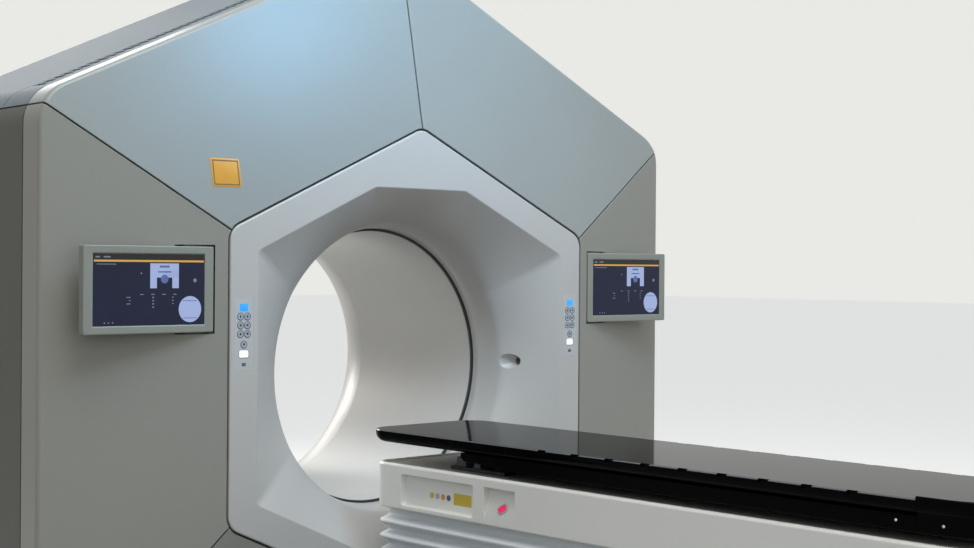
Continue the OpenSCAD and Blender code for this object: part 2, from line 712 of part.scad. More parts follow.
// Couch body: a moulded shell with a label recess and a stop button recess on each side
function body_plan(inset) = let (w = couch_w / 2 - inset, y0 = body_y0 + inset, y1 = body_y1 - inset)
  rounded([[-w, y0], [w, y0], [w, y1], [-w, y1]],
    [150 - inset, 150 - inset, 60 - inset, 60 - inset]);
facet_tilt = atan(recess_deep / (recess_h - 12));
stop_z = recess_top - 64;
stop_x = -couch_w / 2 + recess_deep * (stop_z - recess_top + recess_h) / (recess_h - 12);
module at_stop(side) on_side(-side) translate([stop_x, stop_y, stop_z]) rotate([0, facet_tilt - 90, 0]) children();
module oval(l, w) {
  square([w, l - w], center = true);
  for (y = [-1, 1]) translate([0, y * (l - w) / 2]) circle(w / 2);
}
module couch_body() color("white") at_axis() difference() {
  union() {
    difference() {
      translate([0, 0, body_bottom]) linear_extrude(body_h) polygon(body_plan(0));
      translate([0, 0, body_bottom + 10]) linear_extrude(body_h) polygon(body_plan(body_wall));
    }
    for (y = column_y, d = [-column_half, column_half - 10])
      translate([-couch_w / 2 + body_wall - eps, y + d, body_bottom + 10 - eps])
        cube([couch_w - 2 * body_wall + 2 * eps, 10, body_h - 10 - 1 - deck_t + eps]);
    for (x = [-1, 1]) {
      translate([x * (couch_w / 2 - body_wall / 2 - recess_deep / 2), recess_y0 + recess_l / 2, recess_top - recess_h / 2])
        cube([body_wall + recess_deep - 4, recess_l + 20, recess_h + 16], center = true);
      translate([x * (couch_w / 2 - body_wall / 2 - label_deep / 2), label_y0 + label_l / 2, recess_top - recess_h / 2])
        cube([body_wall + label_deep - 4, label_l + 20, recess_h + 16], center = true);
    }
  }
  for (side = [-1, 1]) on_side(-side) {
    translate([0, recess_y0 + recess_l, 0]) rotate([90, 0, 0]) linear_extrude(recess_l) polygon([
      [-couch_w / 2 - 1, recess_top], [-couch_w / 2 + recess_deep, recess_top],
      [-couch_w / 2 + recess_deep, recess_top - 12], [-couch_w / 2, recess_top - recess_h],
      [-couch_w / 2 - 1, recess_top - recess_h]
    ]);
    translate([-couch_w / 2 + label_deep, label_y0 + label_l / 2, recess_top - recess_h / 2]) rotate([0, -90, 0])
      linear_extrude(label_deep + 1) rounded_rect(recess_h, label_l, 10);
  }
  for (side = [-1, 1]) at_stop(side) translate([0, 0, -13]) linear_extrude(30) oval(46 + 2 * run_gap, 28 + 2 * run_gap);
}
stop_travel = 4;
module stop_button(side) color("red") at_axis() at_stop(side) translate([0, 0, -13 + stop_travel + run_gap])
  linear_extrude(20 - stop_travel) oval(46, 28);
module couch_deck() color("dimgray") at_axis() translate([0, 0, deck_top - deck_t])
  linear_extrude(deck_t) polygon(body_plan(body_wall + run_gap));

// Telescopic lift: fixed sleeves in the base, middle sleeves, and posts under the body
sleeve_top = floor_z + 340;
stage_z0 = floor_z + 110;
stage_z1 = floor_z + 510;
post_z0 = floor_z + 220;
module sleeve(half, wall, z0, z1) translate([0, 0, z0]) linear_extrude(z1 - z0) difference() {
  square(2 * half, center = true);
  square(2 * (half - wall), center = true);
}
module couch_base() color("slategray") at_axis() {
  difference() {
    union() {
      translate([0, 0, floor_z]) linear_extrude(base_h) difference() {
        polygon(body_plan(10));
        polygon(body_plan(22));
      }
      translate([0, 0, floor_z]) linear_extrude(10) polygon(body_plan(10));
      translate([0, 0, base_top - 10]) linear_extrude(10) difference() {
        polygon(body_plan(10));
        polygon(body_plan(fold_d + 14));
      }
    }
    for (x = [-couch_anchor_x, couch_anchor_x], y = [body_y0 + 250, body_y1 - 250])
      translate([x, y, floor_z - 1]) cylinder(r = anchor_r, h = 12);
    translate([-flange_x - run_gap, body_y1 - 20, floor_z - 1]) cube([2 * flange_x + 2 * run_gap, 40, floor_plate_t + 1 + run_gap]);
  }
  for (y = column_y) translate([0, y, 0]) sleeve(column_half, column_wall, floor_z + 10 - eps, sleeve_top);
}
module lift_stage() color("silver") at_axis() for (y = column_y) translate([0, y, 0])
  sleeve(column_half - column_wall - run_gap, column_wall, stage_z0, stage_z1);
module lift_post() color("gainsboro") at_axis() for (y = column_y) translate([0, y, 0])
  sleeve(column_half - 2 * (column_wall + run_gap), column_wall, post_z0, body_bottom);

// Bellows: a thin folded wall that steps in and out between a collar on the base and one under the body
fold_wall = 4;
fold_z0 = base_top + 10;
fold_z1 = body_bottom - 24;
fold_pitch = (fold_z1 - fold_z0) / fold_n;
module bellows() color("whitesmoke") at_axis() {
  folds = [for (k = [0:2 * fold_n]) [fold_z0 + k * fold_pitch / 2, k % 2 == 0 ? fold_d : 2]];
  levels = concat([[base_top, fold_d]], folds, [[body_bottom, fold_d]]);
  last = len(levels) - 1;
  section = concat(levels, [for (k = [last:-1:0]) levels[k] + [0, fold_wall]]);
  rings = [for (v = section) [for (p = body_plan(v[1])) [p.x, p.y, v[0]]]];
  n = len(rings[0]);
  m = len(rings);
  polyhedron(
    [for (r = rings) each r],
    [for (k = [0:m - 1], i = [0:n - 1]) let (j = (i + 1) % n, q = (k + 1) % m)
      each [[k * n + i, k * n + j, q * n + i], [k * n + j, q * n + j, q * n + i]]]
  );
}

gantry_frame();
bearing_race();
motor_stator();
cover_frame();
front_bezel();
bore_seal();
bore_tube();
rear_bezel();
panel_upper(-1);  // panel_upper_left
panel_upper(1);  // panel_upper_right
panel_side(-1);  // panel_side_left
panel_side(1);  // panel_side_right
panel_lower(-1);  // panel_lower_left
panel_lower(1);  // panel_lower_right
roof(-1);  // roof_left
roof(1);  // roof_right
flank(-1);  // flank_left
flank(1);  // flank_right
rear_cover(-1);  // rear_cover_left
rear_cover(1);  // rear_cover_right
monitor(-1);  // monitor_left
monitor(1);  // monitor_right
screen(-1);  // screen_left
screen(1);  // screen_right
keypad(-1);  // keypad_left
keypad(1);  // keypad_right
port_lens();
for (i = [1:8]) {
  key(-1, i);
  key(1, i);
}
rotor_drum();
treatment_head();
collimator();
beam_stop();
imaging_tube();
imaging_detector();
couch_base();
bellows();
lift_stage();
lift_post();
couch_body();
couch_deck();
couch_saddle();
couch_frame();
couch_top();
stop_button(-1);  // stop_button_left
stop_button(1);  // stop_button_right
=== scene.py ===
# Ring gantry radiotherapy scanner with its patient couch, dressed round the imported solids.
# Lengths are millimetres about the bore axis: X to the right, Y back from the bezel's front plane, Z up.
import math

import bmesh
import bpy
import numpy as np
from mathutils import Matrix, Vector


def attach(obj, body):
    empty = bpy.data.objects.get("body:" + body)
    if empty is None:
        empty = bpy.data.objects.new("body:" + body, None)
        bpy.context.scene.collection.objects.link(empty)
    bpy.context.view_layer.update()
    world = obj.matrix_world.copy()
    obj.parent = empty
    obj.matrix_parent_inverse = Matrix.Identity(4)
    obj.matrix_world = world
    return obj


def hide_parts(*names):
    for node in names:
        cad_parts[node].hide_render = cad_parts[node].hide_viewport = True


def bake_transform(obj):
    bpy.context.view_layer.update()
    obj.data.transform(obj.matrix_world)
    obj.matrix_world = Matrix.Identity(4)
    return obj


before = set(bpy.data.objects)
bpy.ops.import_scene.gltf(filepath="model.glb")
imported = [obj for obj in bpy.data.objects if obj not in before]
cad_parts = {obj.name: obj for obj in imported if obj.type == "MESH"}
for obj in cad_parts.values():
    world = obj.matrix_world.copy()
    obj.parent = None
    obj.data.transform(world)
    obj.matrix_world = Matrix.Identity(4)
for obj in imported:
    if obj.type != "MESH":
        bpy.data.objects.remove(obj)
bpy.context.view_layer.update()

# The camera stands at eye height to the left of the couch's foot and looks level at the bore.
EYE = (-3.6500, -4.9532, 1.4898)
YAW = 0.7412
PITCH = -0.0029
ROLL = 0.0072
FOCAL_PX = 1578.2
PHOTO_W = 974
CENTRE_OFF = (-0.06, -2.54)

ahead = Vector((math.sin(YAW) * math.cos(PITCH), math.cos(YAW) * math.cos(PITCH), math.sin(PITCH)))
level = Vector((math.cos(YAW), -math.sin(YAW), 0))
upright = level.cross(ahead)
right = level * math.cos(ROLL) + upright * math.sin(ROLL)
up = upright * math.cos(ROLL) - level * math.sin(ROLL)
camera = bpy.data.objects.new("camera", bpy.data.cameras.new("camera"))
bpy.context.scene.collection.objects.link(camera)
turn = Matrix((right, up, -ahead)).transposed()
camera.matrix_world = Matrix.Translation(EYE) @ turn.to_4x4()
camera.data.sensor_width = 36
camera.data.lens = FOCAL_PX / PHOTO_W * camera.data.sensor_width
camera.data.shift_x = -CENTRE_OFF[0] / PHOTO_W
camera.data.shift_y = CENTRE_OFF[1] / PHOTO_W
camera.data.clip_end = 200
bpy.context.scene.camera = camera

# Welded steel stand and floor plate that carry the ring. Mild steel plate, cut, welded and powder
# coated; it is bolted to the floor and hardly shows between the covers.
MM = 0.001


def linear(code):
    """Linear values of an sRGB hex colour."""
    parts = [int(code[i : i + 2], 16) / 255 for i in (1, 3, 5)]
    return (*[c / 12.92 if c <= 0.04045 else ((c + 0.055) / 1.055) ** 2.4 for c in parts], 1)


def add(tree, kind, settings=None, links=None):
    """Adds a node with its settings and links."""
    made = tree.nodes.new(kind)
    for key, value in (settings or {}).items():
        if isinstance(key, int) or key in made.inputs:
            made.inputs[key].default_value = value
        else:
            setattr(made, key, value)
    for key, source in (links or {}).items():
        tree.links.new(source, made.inputs[key])
    return made


def surface(name, colour, patch, patch_mm, rough, grain_mm, grain_depth_mm, stretch=(1, 1, 1), **sockets):
    """A finish that drifts from colour to patch over patch_mm, with a grain of its own size and depth."""
    made = bpy.data.materials.new(name)
    made.use_nodes = True
    tree = made.node_tree
    shader = tree.nodes["Principled BSDF"]
    for key, value in sockets.items():
        shader.inputs[key.replace("_", " ")].default_value = value
    place = add(tree, "ShaderNodeTexCoord").outputs["Object"]
    drift = add(tree, "ShaderNodeTexNoise", {"Scale": 1 / (patch_mm * MM), "Detail": 3}, {"Vector": place})
    tint = add(
        tree,
        "ShaderNodeMix",
        {"data_type": "RGBA", 6: linear(colour), 7: linear(patch)},
        {0: drift.outputs["Fac"]},
    )
    tree.links.new(tint.outputs[2], shader.inputs["Base Color"])
    along = add(tree, "ShaderNodeMapping", {"Scale": stretch}, {"Vector": place})
    grain = add(
        tree,
        "ShaderNodeTexNoise",
        {"Scale": 1 / (grain_mm * MM), "Detail": 2},
        {"Vector": along.outputs["Vector"]},
    )
    gloss = add(
        tree,
        "ShaderNodeMapRange",
        {"To Min": rough[0], "To Max": rough[1]},
        {"Value": grain.outputs["Fac"]},
    )
    tree.links.new(gloss.outputs["Result"], shader.inputs["Roughness"])
    relief = add(
        tree,
        "ShaderNodeBump",
        {"Strength": 1.0, "Distance": grain_depth_mm * MM},
        {"Height": grain.outputs["Fac"]},
    )
    tree.links.new(relief.outputs["Normal"], shader.inputs["Normal"])
    return made


def dress(names, finish, edge_mm=0):
    """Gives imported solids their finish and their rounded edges."""
    for name in names:
        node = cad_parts[name]
        node.data.materials.clear()
        node.data.materials.append(finish)
        if edge_mm:
            soften(node, edge_mm)


def soften(piece, width_mm, segments=2, angle=40):
    """Rounds the sharp edges, as the tool or the paint leaves them."""
    bevel = piece.modifiers.new("edge", "BEVEL")
    bevel.width = width_mm * MM
    bevel.segments = segments
    bevel.limit_method = "ANGLE"
    bevel.angle_limit = math.radians(angle)
    bevel.use_clamp_overlap = True
    even_light(piece)


def even_light(piece, weight=80):
    """Lets the large faces set the shading, so that flats look flat up to their rounded edges."""
    even = piece.modifiers.new("shade", "WEIGHTED_NORMAL")
    even.keep_sharp = True
    even.weight = weight


# Powder coat on steel: slight orange peel that blurs the reflections.
coated_steel = surface("steel_powder_coated", "#5B6368", "#535B60", 180, (0.42, 0.55), 2.2, 0.03)
dress(["gantry_frame"], coated_steel, 2)

# Ground bearing race and the wound ring of the motor, both hidden behind the covers. The race is
# hardened steel, ground all over; the motor ring is laminated iron under a baked varnish.

# Ground steel: a bright grey with fine lines round the ring.
ground_steel = surface(
    "bearing_steel_ground", "#9FA3A6", "#94989B", 60, (0.16, 0.3), 0.9, 0.01, (1, 12, 1), Metallic=1.0
)
# Baked varnish over iron and copper: a warm brown, glossy and a little uneven.
varnished_iron = surface("iron_varnished", "#7A4A2C", "#6B4228", 40, (0.3, 0.45), 3.0, 0.06)
dress(["bearing_race"], ground_steel, 1)
dress(["motor_stator"], varnished_iron, 1)

# Turning drum with the treatment head and the imaging parts. The drum is a machined casting in a
# two-pack paint; the heads are painted sheet steel, the leaves of the collimator bare tungsten alloy.

# Paint over a casting: dull, with the pebbled skin of the sand mould under it.
cast_paint = surface("casting_painted", "#4F5D69", "#485560", 120, (0.45, 0.6), 4.0, 0.12)
# Stoved paint on sheet steel: pale, smooth and satin.
head_paint = surface("sheet_steel_painted", "#A9B1B8", "#A0A9B1", 150, (0.32, 0.45), 2.0, 0.02)
# Milled tungsten alloy: a dark metal with the fine lines of the cutter.
tungsten = surface(
    "tungsten_milled", "#6A6B6C", "#5F6061", 25, (0.28, 0.42), 0.8, 0.01, (1, 6, 1), Metallic=1.0
)
# Paint over rough cast iron: matt and uneven.
lead_iron = surface("iron_cast_painted", "#565A5E", "#4C5054", 90, (0.5, 0.65), 5.0, 0.2)
# Matt paint on aluminium: a plain dark grey that hardly reflects.
detector_grey = surface("aluminium_painted_matt", "#3E4549", "#383F43", 80, (0.5, 0.6), 2.0, 0.03)
dress(["rotor_drum"], cast_paint, 2)
dress(["treatment_head", "imaging_tube"], head_paint, 3)
dress(["collimator"], tungsten, 0.6)
dress(["beam_stop"], lead_iron, 4)
dress(["imaging_detector"], detector_grey, 2)

# Frame of extruded aluminium behind the covers, bolted together from straight lengths. It carries every
# cover on clips, and shows as the dark ground of every open joint.

# Black anodising: nearly black, with the fine lines of the die along each bar.
black_anodised = surface(
    "aluminium_black_anodised", "#2A2C2D", "#242627", 60, (0.35, 0.5), 1.5, 0.02, (1, 1, 8), Metallic=0.6
)
dress(["cover_frame"], black_anodised, 1)

# Front bezel: one white glass-fibre moulding with the flat hexagon face and the funnel into the bore.
# It is laid up in one mould, gel coated and screwed to the frame from behind.
RING_Y = 620
AXIS_H = 1120
HALF_W = 810
SIDE_H = 486
PITCH_RUN = 0.465
SLOPE = math.hypot(1, PITCH_RUN)
CORNER_R = 60
BAND_W = 107
MOUTH_H = 647
MOUTH_R = 26
SHELL_T = 10
RIM_D = 70
RIM_R = 5
THROAT_D = 156
SEAL_D = 289
BORE_R = 500
TAPER = 0.195
LIP_STEP = 9
LIP_FROM = 215
LIP_RUN = 60
EASE = 0.1
FLAT_POWER = 1.3
TIP = SIDE_H + PITCH_RUN * HALF_W


def placed(p):
    """From millimetres about the bore axis to metres in the shared frame."""
    return (p[0] * MM, (p[1] - RING_Y) * MM, (p[2] + AXIS_H) * MM)


def rounded(points, radii, steps=8):
    """A closed outline in its plane with each corner rounded."""
    made = []
    for i, b in enumerate(points):
        a, c, r = Vector(points[i - 1]), Vector(points[(i + 1) % len(points)]), radii[i]
        b = Vector(b)
        if r <= 0:
            made.append(tuple(b))
            continue
        u, v = (a - b).normalized(), (c - b).normalized()
        half = u.angle(v) / 2
        centre = b + (u + v).normalized() * r / math.sin(half)
        first = b + u * r / math.tan(half) - centre
        start = math.atan2(first.y, first.x)
        for k in range(steps + 1):
            t = start + (math.pi - 2 * half) * k / steps
            made.append((centre.x + r * math.cos(t), centre.y + r * math.sin(t)))
    return made


def hexagon(out):
    """Outline of the bezel's face, grown by out."""
    w = HALF_W + out
    s = SIDE_H + (SLOPE - PITCH_RUN) * out
    tip = s + PITCH_RUN * w
    corners = [(w, -s), (w, s), (0, tip), (-w, s), (-w, -s), (0, -tip)]
    return rounded(corners, [CORNER_R + out] * 6)


def reach(outline, turns):
    """Distance from the axis to a convex outline along each bearing in degrees."""
    p = np.array(outline, float)
    run = np.roll(p, -1, 0) - p
    out = np.c_[run[:, 1], -run[:, 0]]
    t = np.radians(turns)
    facing = out @ np.array([np.cos(t), np.sin(t)])
    facing[facing < 1e-6 * np.linalg.norm(out, axis=1)[:, None] + 1e-9] = 1e-9
    return ((out * p).sum(1)[:, None] / facing).min(0)


def bearings(outlines, step, low=0, high=360):
    """Bearings in degrees at every corner of the outlines, and at even steps between them."""
    marks = [math.degrees(math.atan2(z, x)) for o in outlines for x, z in o]
    marks = [m + 360 * k for m in marks for k in (-1, 0, 1)]
    marks += list(np.arange(low, high + 1e-9, step))
    kept = []
    for m in sorted(m for m in marks if low <= m <= high):
        if not kept or m - kept[-1] > 0.04:
            kept.append(m)
    if high - low >= 360 and kept[-1] - kept[0] > 359.96:
        kept.pop()
    return np.array(kept)


def ring(radii, y, turns):
    """Points round the bore axis, at one depth or at a depth for each bearing."""
    t = np.radians(turns)
    y = np.broadcast_to(y, t.shape)
    return [(r * math.cos(a), d, r * math.sin(a)) for r, a, d in zip(np.broadcast_to(radii, t.shape), t, y)]


def loft(rings, loop=False, caps=True, closed=True):
    """Skin over rings of equal length, closed at both ends or looped back to the first ring."""
    n = len(rings[0])
    points = [p for r in rings for p in r]
    faces = []
    spans = len(rings) if loop else len(rings) - 1
    for k in range(spans):
        a, b = k * n, (k + 1) % len(rings) * n
        for i in range(n if closed else n - 1):
            j = (i + 1) % n
            faces.append((a + i, a + j, b + j, b + i))
    if caps and not loop:
        faces.append(tuple(range(n)))
        faces.append(tuple((len(rings) - 1) * n + i for i in range(n - 1, -1, -1)))
    return points, faces


def solid(name, parts, facing=None, crease=38):
    """An object made of parts, each with its own material slot; facing turns an open skin outward."""
    bm = bmesh.new()
    for index, (points, faces) in enumerate(parts):
        made = [bm.verts.new(placed(p)) for p in points]
        for f in faces:
            try:
                bm.faces.new([made[i] for i in f]).material_index = index
            except ValueError:
                pass
    bmesh.ops.remove_doubles(bm, verts=bm.verts, dist=1e-6)
    bmesh.ops.dissolve_degenerate(bm, edges=bm.edges, dist=1e-6)
    bmesh.ops.recalc_face_normals(bm, faces=bm.faces)
    if facing is not None:
        biggest = max(bm.faces, key=lambda f: f.calc_area())
        if biggest.normal.dot(Vector(facing)) < 0:
            bmesh.ops.reverse_faces(bm, faces=bm.faces)
    mesh = bpy.data.meshes.new(name)
    bm.to_mesh(mesh)
    bm.free()
    piece = bpy.data.objects.new(name, mesh)
    bpy.context.scene.collection.objects.link(piece)
    smooth(mesh, crease)
    return piece


def smooth(mesh, crease):
    """Shades the mesh smooth, with a sharp edge wherever it bends more than the crease."""
    mesh.shade_smooth()
    mesh.set_sharp_from_angle(angle=math.radians(crease))


def fit(piece, body, slot, finishes, *nodes):
    """Gives a piece its finishes, the body it rides on and the solids it stands for."""
    for finish in finishes if isinstance(finishes, (list, tuple)) else [finishes]:
        piece.data.materials.append(finish)
    if len(piece.data.materials) == 1:
        for face in piece.data.polygons:
            face.material_index = 0
    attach(piece, body)
    if nodes:
        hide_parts(*nodes)


def settle(piece, crease=38):
    """Applies the modifiers, so that the mesh is final."""
    seen = bpy.context.evaluated_depsgraph_get()
    mesh = bpy.data.meshes.new_from_object(piece.evaluated_get(seen))
    piece.modifiers.clear()
    piece.data = mesh
    smooth(mesh, crease)
    return piece


def carve(piece, tool, how="DIFFERENCE", crease=38):
    """Cuts the tool out of the piece, or joins it on, and drops the tool."""
    work = piece.modifiers.new("work", "BOOLEAN")
    work.operation = how
    work.object = tool
    work.solver = "EXACT"
    bpy.context.view_layer.update()
    settle(piece, crease)
    bpy.data.objects.remove(tool)


def block(name, low, high):
    """A plain cutter between two corners."""
    x0, y0, z0 = low
    x1, y1, z1 = high
    rings = [[(x0, y, z0), (x1, y, z0), (x1, y, z1), (x0, y, z1)] for y in (y0, y1)]
    return solid(name, [loft(rings)])


mouth_w = HALF_W - BAND_W
mouth_tip = TIP - SLOPE * BAND_W
cut_x = (mouth_tip - MOUTH_H) / PITCH_RUN
side_z = mouth_tip - PITCH_RUN * mouth_w
mouth_line = rounded(
    [
        (mouth_w, -side_z),
        (mouth_w, side_z),
        (cut_x, MOUTH_H),
        (-cut_x, MOUTH_H),
        (-mouth_w, side_z),
        (-mouth_w, -side_z),
        (-cut_x, -MOUTH_H),
        (cut_x, -MOUTH_H),
    ],
    [MOUTH_R] * 8,
    5,
)
turns = bearings([hexagon(0), hexagon(-RIM_R), mouth_line], 2)
mouth = reach(mouth_line, turns)


def funnel(y, line=None):
    """Radius of the wall at a depth, along each bearing: the flats die out into the round bore."""
    line = mouth if line is None else line
    throat_0 = BORE_R + TAPER * SEAL_D
    left = 1 - y / THROAT_D
    left = (left + math.hypot(left, EASE)) / 2
    lip = LIP_STEP * max(0, min(1, (y - LIP_FROM) / LIP_RUN)) ** 2
    return BORE_R + lip + TAPER * (SEAL_D - y) + (line - throat_0) * min(1, left) ** FLAT_POWER


def quarter_turn(steps):
    """Angles from zero to a right angle."""
    return [math.pi / 2 * k / steps for k in range(steps + 1)]


edge_y = 2.6
wall = funnel(edge_y)
rings = [ring(reach(hexagon(0), turns), y, turns) for y in (RIM_D, RIM_R)]
for a in quarter_turn(4)[1:]:
    rings.append(ring(reach(hexagon(-RIM_R * (1 - math.cos(a))), turns), RIM_R * (1 - math.sin(a)), turns))
rings.append(ring(reach(hexagon(-RIM_R - 4), turns), 0, turns))
for s in (0, 0.25, 0.5, 0.75, 1):
    radii = (1 - s) ** 2 * (mouth + 3.4) + 2 * s * (1 - s) * (mouth + 0.2) + s * s * wall
    rings.append(ring(radii, edge_y * s * s, turns))
WALL_STEPS = (6, 10, 15, 22, 30, 40, 52, 65, 78, 92, 106, 120, 133)
WALL_STEPS += (144, 152, 160, 170, 182, 200, 215, 230, 245, 260, 275, 284)
FUNNEL_END = 287.8
for y in WALL_STEPS:
    rings.append(ring(funnel(y), y, turns))
rings.append(ring(funnel(SEAL_D) + 0.3, 287.2, turns))
rings.append(ring(funnel(SEAL_D) + 0.9, FUNNEL_END, turns))
for y in (FUNNEL_END, 215, THROAT_D, 112, RIM_D, 34, SHELL_T):
    thin = 4 if y == FUNNEL_END else 0
    rings.append(ring(np.maximum(funnel(y) + SHELL_T - thin, 510), y, turns))
for y in (SHELL_T, RIM_D):
    rings.append(ring(reach(hexagon(-SHELL_T), turns), y, turns))
front_bezel = solid("front_bezel_moulding", [loft(rings, loop=True)], crease=30)

PORT = (586, 110, 5)
PORT_TURN = 8
PORT_R = 17.5
PORT_FLARE = 0.34
PORT_DEEP = 70
port_dir = Vector((-math.cos(math.radians(PORT_TURN)), math.sin(math.radians(PORT_TURN)), 0))
port_side = Vector((0, 0, 1)).cross(port_dir)


def circle(steps):
    """Angles of a full turn."""
    return [2 * math.pi * k / steps for k in range(steps)]


def about_port(profile, steps=48):
    """Turns a profile of distance and radius about the port's own axis."""
    rings = []
    for along, r in profile:
        centre = Vector(PORT) + port_dir * along
        spokes = [port_side * math.cos(a) + Vector((0, 0, 1)) * math.sin(a) for a in circle(steps)]
        rings.append([tuple(centre + spoke * r) for spoke in spokes])
    return rings


# The boss round the port stands on the back of the wall and is cut off flush with the wall's face.
boss = solid("port_boss", [loft(about_port([(-8, PORT_R + 6), (60, PORT_R + 40)]))])
wall_0, wall_48, wall_155 = [float(funnel(y, np.array([mouth_w]))[0]) for y in (0, 48, 155)]
plan = [(0, -32), (wall_0 + 60, -32), (wall_48 + 2, 48), (wall_155 + 2, 155), (wall_48 - 60, 235), (0, 235)]
prism = [[(x, y, PORT[2] + z) for x, y in plan] for z in (-PORT_DEEP, PORT_DEEP)]
carve(boss, solid("port_prism", [loft(prism)]))
carve(front_bezel, boss, "UNION", 30)
cone = about_port([(0, PORT_R), (PORT_DEEP, PORT_R + PORT_DEEP * PORT_FLARE)])
carve(front_bezel, solid("port_cone", [loft(cone)]), crease=30)

KEYPAD_W = 72
KEYPAD_H = 240
KEYPAD_X = 757
KEYPAD_Z = 145
for side in (-1, 1):
    x = side * KEYPAD_X
    low = (x - KEYPAD_W / 2, -2, KEYPAD_Z - KEYPAD_H / 2)
    carve(front_bezel, block("window", low, (x + KEYPAD_W / 2, 15, KEYPAD_Z + KEYPAD_H / 2)), crease=30)
# A small slit across the upper flat of the funnel, left of the middle.
carve(front_bezel, block("slit", (-33, 72.5, 497), (-7, 79.5, 557)), crease=30)
# Gel coat over glass fibre: an even white with soft reflections and a faint long waviness.
gel_coat = surface("glass_fibre_gel_coat_white", "#BDBCB9", "#B7B6B3", 420, (0.3, 0.38), 3.0, 0.006)
fit(front_bezel, "gantry", "white_moulding", gel_coat, "front_bezel")
even_light(front_bezel, 70)

# Camera behind the port, which watches the patient on the couch: a glass dome in a turned black ring,
# pressed into the boss of the bezel from behind.
LENS_R = 12
dome = [(0, LENS_R), (2.6, LENS_R), (3.0, LENS_R - 0.6), (3.0, 9.6), (2.4, 9.2)]
dome += [(2.4 + 1.4 * math.sin(a), 9 * math.cos(a)) for a in (0.15, 0.5, 0.85, 1.2, 1.45)]
port_lens = solid("port_lens_dome", [loft(about_port(dome))], crease=30)
# Coated optical glass over a dark chamber: black with a clear sharp highlight.
lens_glass = surface("glass_coated", "#08090B", "#0B0D12", 8, (0.03, 0.05), 4, 0.0, Coat_Weight=0.6)
fit(port_lens, "gantry", "seal_rubber", lens_glass, "port_lens")

# Seal between bezel and tube: a moulded rubber lip that lies in the joint all round. It is pushed on
# to the end of the tube and keeps dust out of the covers.
SEAL_Y = (287.9, 298)
SEAL_R = 520


def spin(profile, steps=180):
    """Turns a closed profile of radius and depth about the bore axis."""
    t = [360 * k / steps for k in range(steps)]
    return loft([ring(r, y, t) for r, y in profile], loop=True)


lip = [(503.5, SEAL_Y[0]), (500.9, 289.6), (500.7, 296.6)]
lip += [(501.4, SEAL_Y[1]), (SEAL_R, SEAL_Y[1]), (SEAL_R, SEAL_Y[0])]
seal = solid("bore_seal_lip", [spin(lip)])
# Black elastomer: dull, with the fine grain of the mould.
rubber = surface("rubber_moulded_black", "#161718", "#111213", 30, (0.6, 0.75), 1.5, 0.03)
fit(seal, "gantry", "seal_rubber", rubber, "bore_seal")

# Bore tube and rear bezel: thin white liners that let the beam through. The tube is rolled from
# carbon-fibre laminate and painted; the rear bezel is spun over a mould and screwed to the covers.
REAR_Y = 1189.9
FLARE_R = 120
FLARE_Y = 990
FLANGE_W = 20
TUBE_T = 8
TUBE_Y = 298.2
tube_line = [(BORE_R + 0.8, TUBE_Y), (BORE_R, TUBE_Y + 1), (BORE_R, FLARE_Y)]
tube_line += [(BORE_R + TUBE_T, FLARE_Y), (BORE_R + TUBE_T, TUBE_Y)]
tube = solid("bore_tube_liner", [spin(tube_line)])
fit(tube, "gantry", "white_moulding", gel_coat, "bore_tube")
flare_y = FLARE_Y + 0.4


def quarter(r, wide, deep):
    """A quarter of an ellipse that opens from radius r towards the back."""
    return [(r + wide * (1 - math.cos(a)), flare_y + deep * math.sin(a)) for a in quarter_turn(12)]


rear_hole = BORE_R + FLARE_R + FLANGE_W
flare = quarter(BORE_R, FLARE_R, REAR_Y - flare_y)
flare += [(rear_hole - 1.5, REAR_Y), (rear_hole, REAR_Y - 1.5), (rear_hole, REAR_Y - TUBE_T)]
flare += quarter(BORE_R + TUBE_T, FLARE_R - TUBE_T, REAR_Y - TUBE_T - flare_y)[::-1]
rear_bezel = solid("rear_bezel_moulding", [spin(flare)])
fit(rear_bezel, "gantry", "white_moulding", gel_coat, "rear_bezel")

# Front covers: six folded panels that fall back from the bezel, with a tight radius into the side.
# Aluminium sheet on a frame, filled, primed and sprayed in a satin grey; hung on clips with open joints.
COVER_HALF_W = 1415
RIDGE = 1548
SHOULDER_R = 140
RIDGE_R = 100
EDGE_R = 18
DROP = 132
BASE_Z = -1100
FRONT_D = 237.5
SKIN = 8
JOINT = 6
GAP = 8
SEAT = 0.15
run_slope = DROP / (COVER_HALF_W - HALF_W)
fall = math.atan(run_slope)
low_slope = DROP / (-BASE_Z - TIP + PITCH_RUN * COVER_HALF_W)


def house(inset):
    """Outline of the covers seen from the front, drawn in by inset."""
    inset += SEAT
    w = COVER_HALF_W - inset
    top = RIDGE - SLOPE * inset
    eaves = top - PITCH_RUN * w
    corners = [(-w, BASE_Z), (w, BASE_Z), (w, eaves), (0, top), (-w, eaves)]
    shoulder = SHOULDER_R - inset
    return rounded(corners, [0, 0, shoulder, RIDGE_R - inset, shoulder], 12)


def face_depth(kind, x, z):
    """Depth of the folded face: each panel is one plane, and neighbours meet on their joint."""
    if kind == "side":
        return run_slope * (x - HALF_W)
    if kind == "upper":
        return run_slope * (z - TIP + PITCH_RUN * x) / SLOPE
    return low_slope * (-z - TIP + PITCH_RUN * x)


upper_run = Vector((1, SLOPE - PITCH_RUN)).normalized()
lower_run = Vector((COVER_HALF_W - HALF_W, BASE_Z + SIDE_H)).normalized()
middle = ((0, 0), (-1, 0))
seams = {
    "upper": [((HALF_W, SIDE_H), (upper_run.y, -upper_run.x)), middle],
    "side": [
        ((HALF_W, SIDE_H), (-upper_run.y, upper_run.x)),
        ((HALF_W, -SIDE_H), (lower_run.y, -lower_run.x)),
    ],
    "lower": [((HALF_W, -SIDE_H), (-lower_run.y, lower_run.x)), middle],
}
spans = {"upper": (28, 92), "side": (-40, 34), "lower": (-92, -29)}


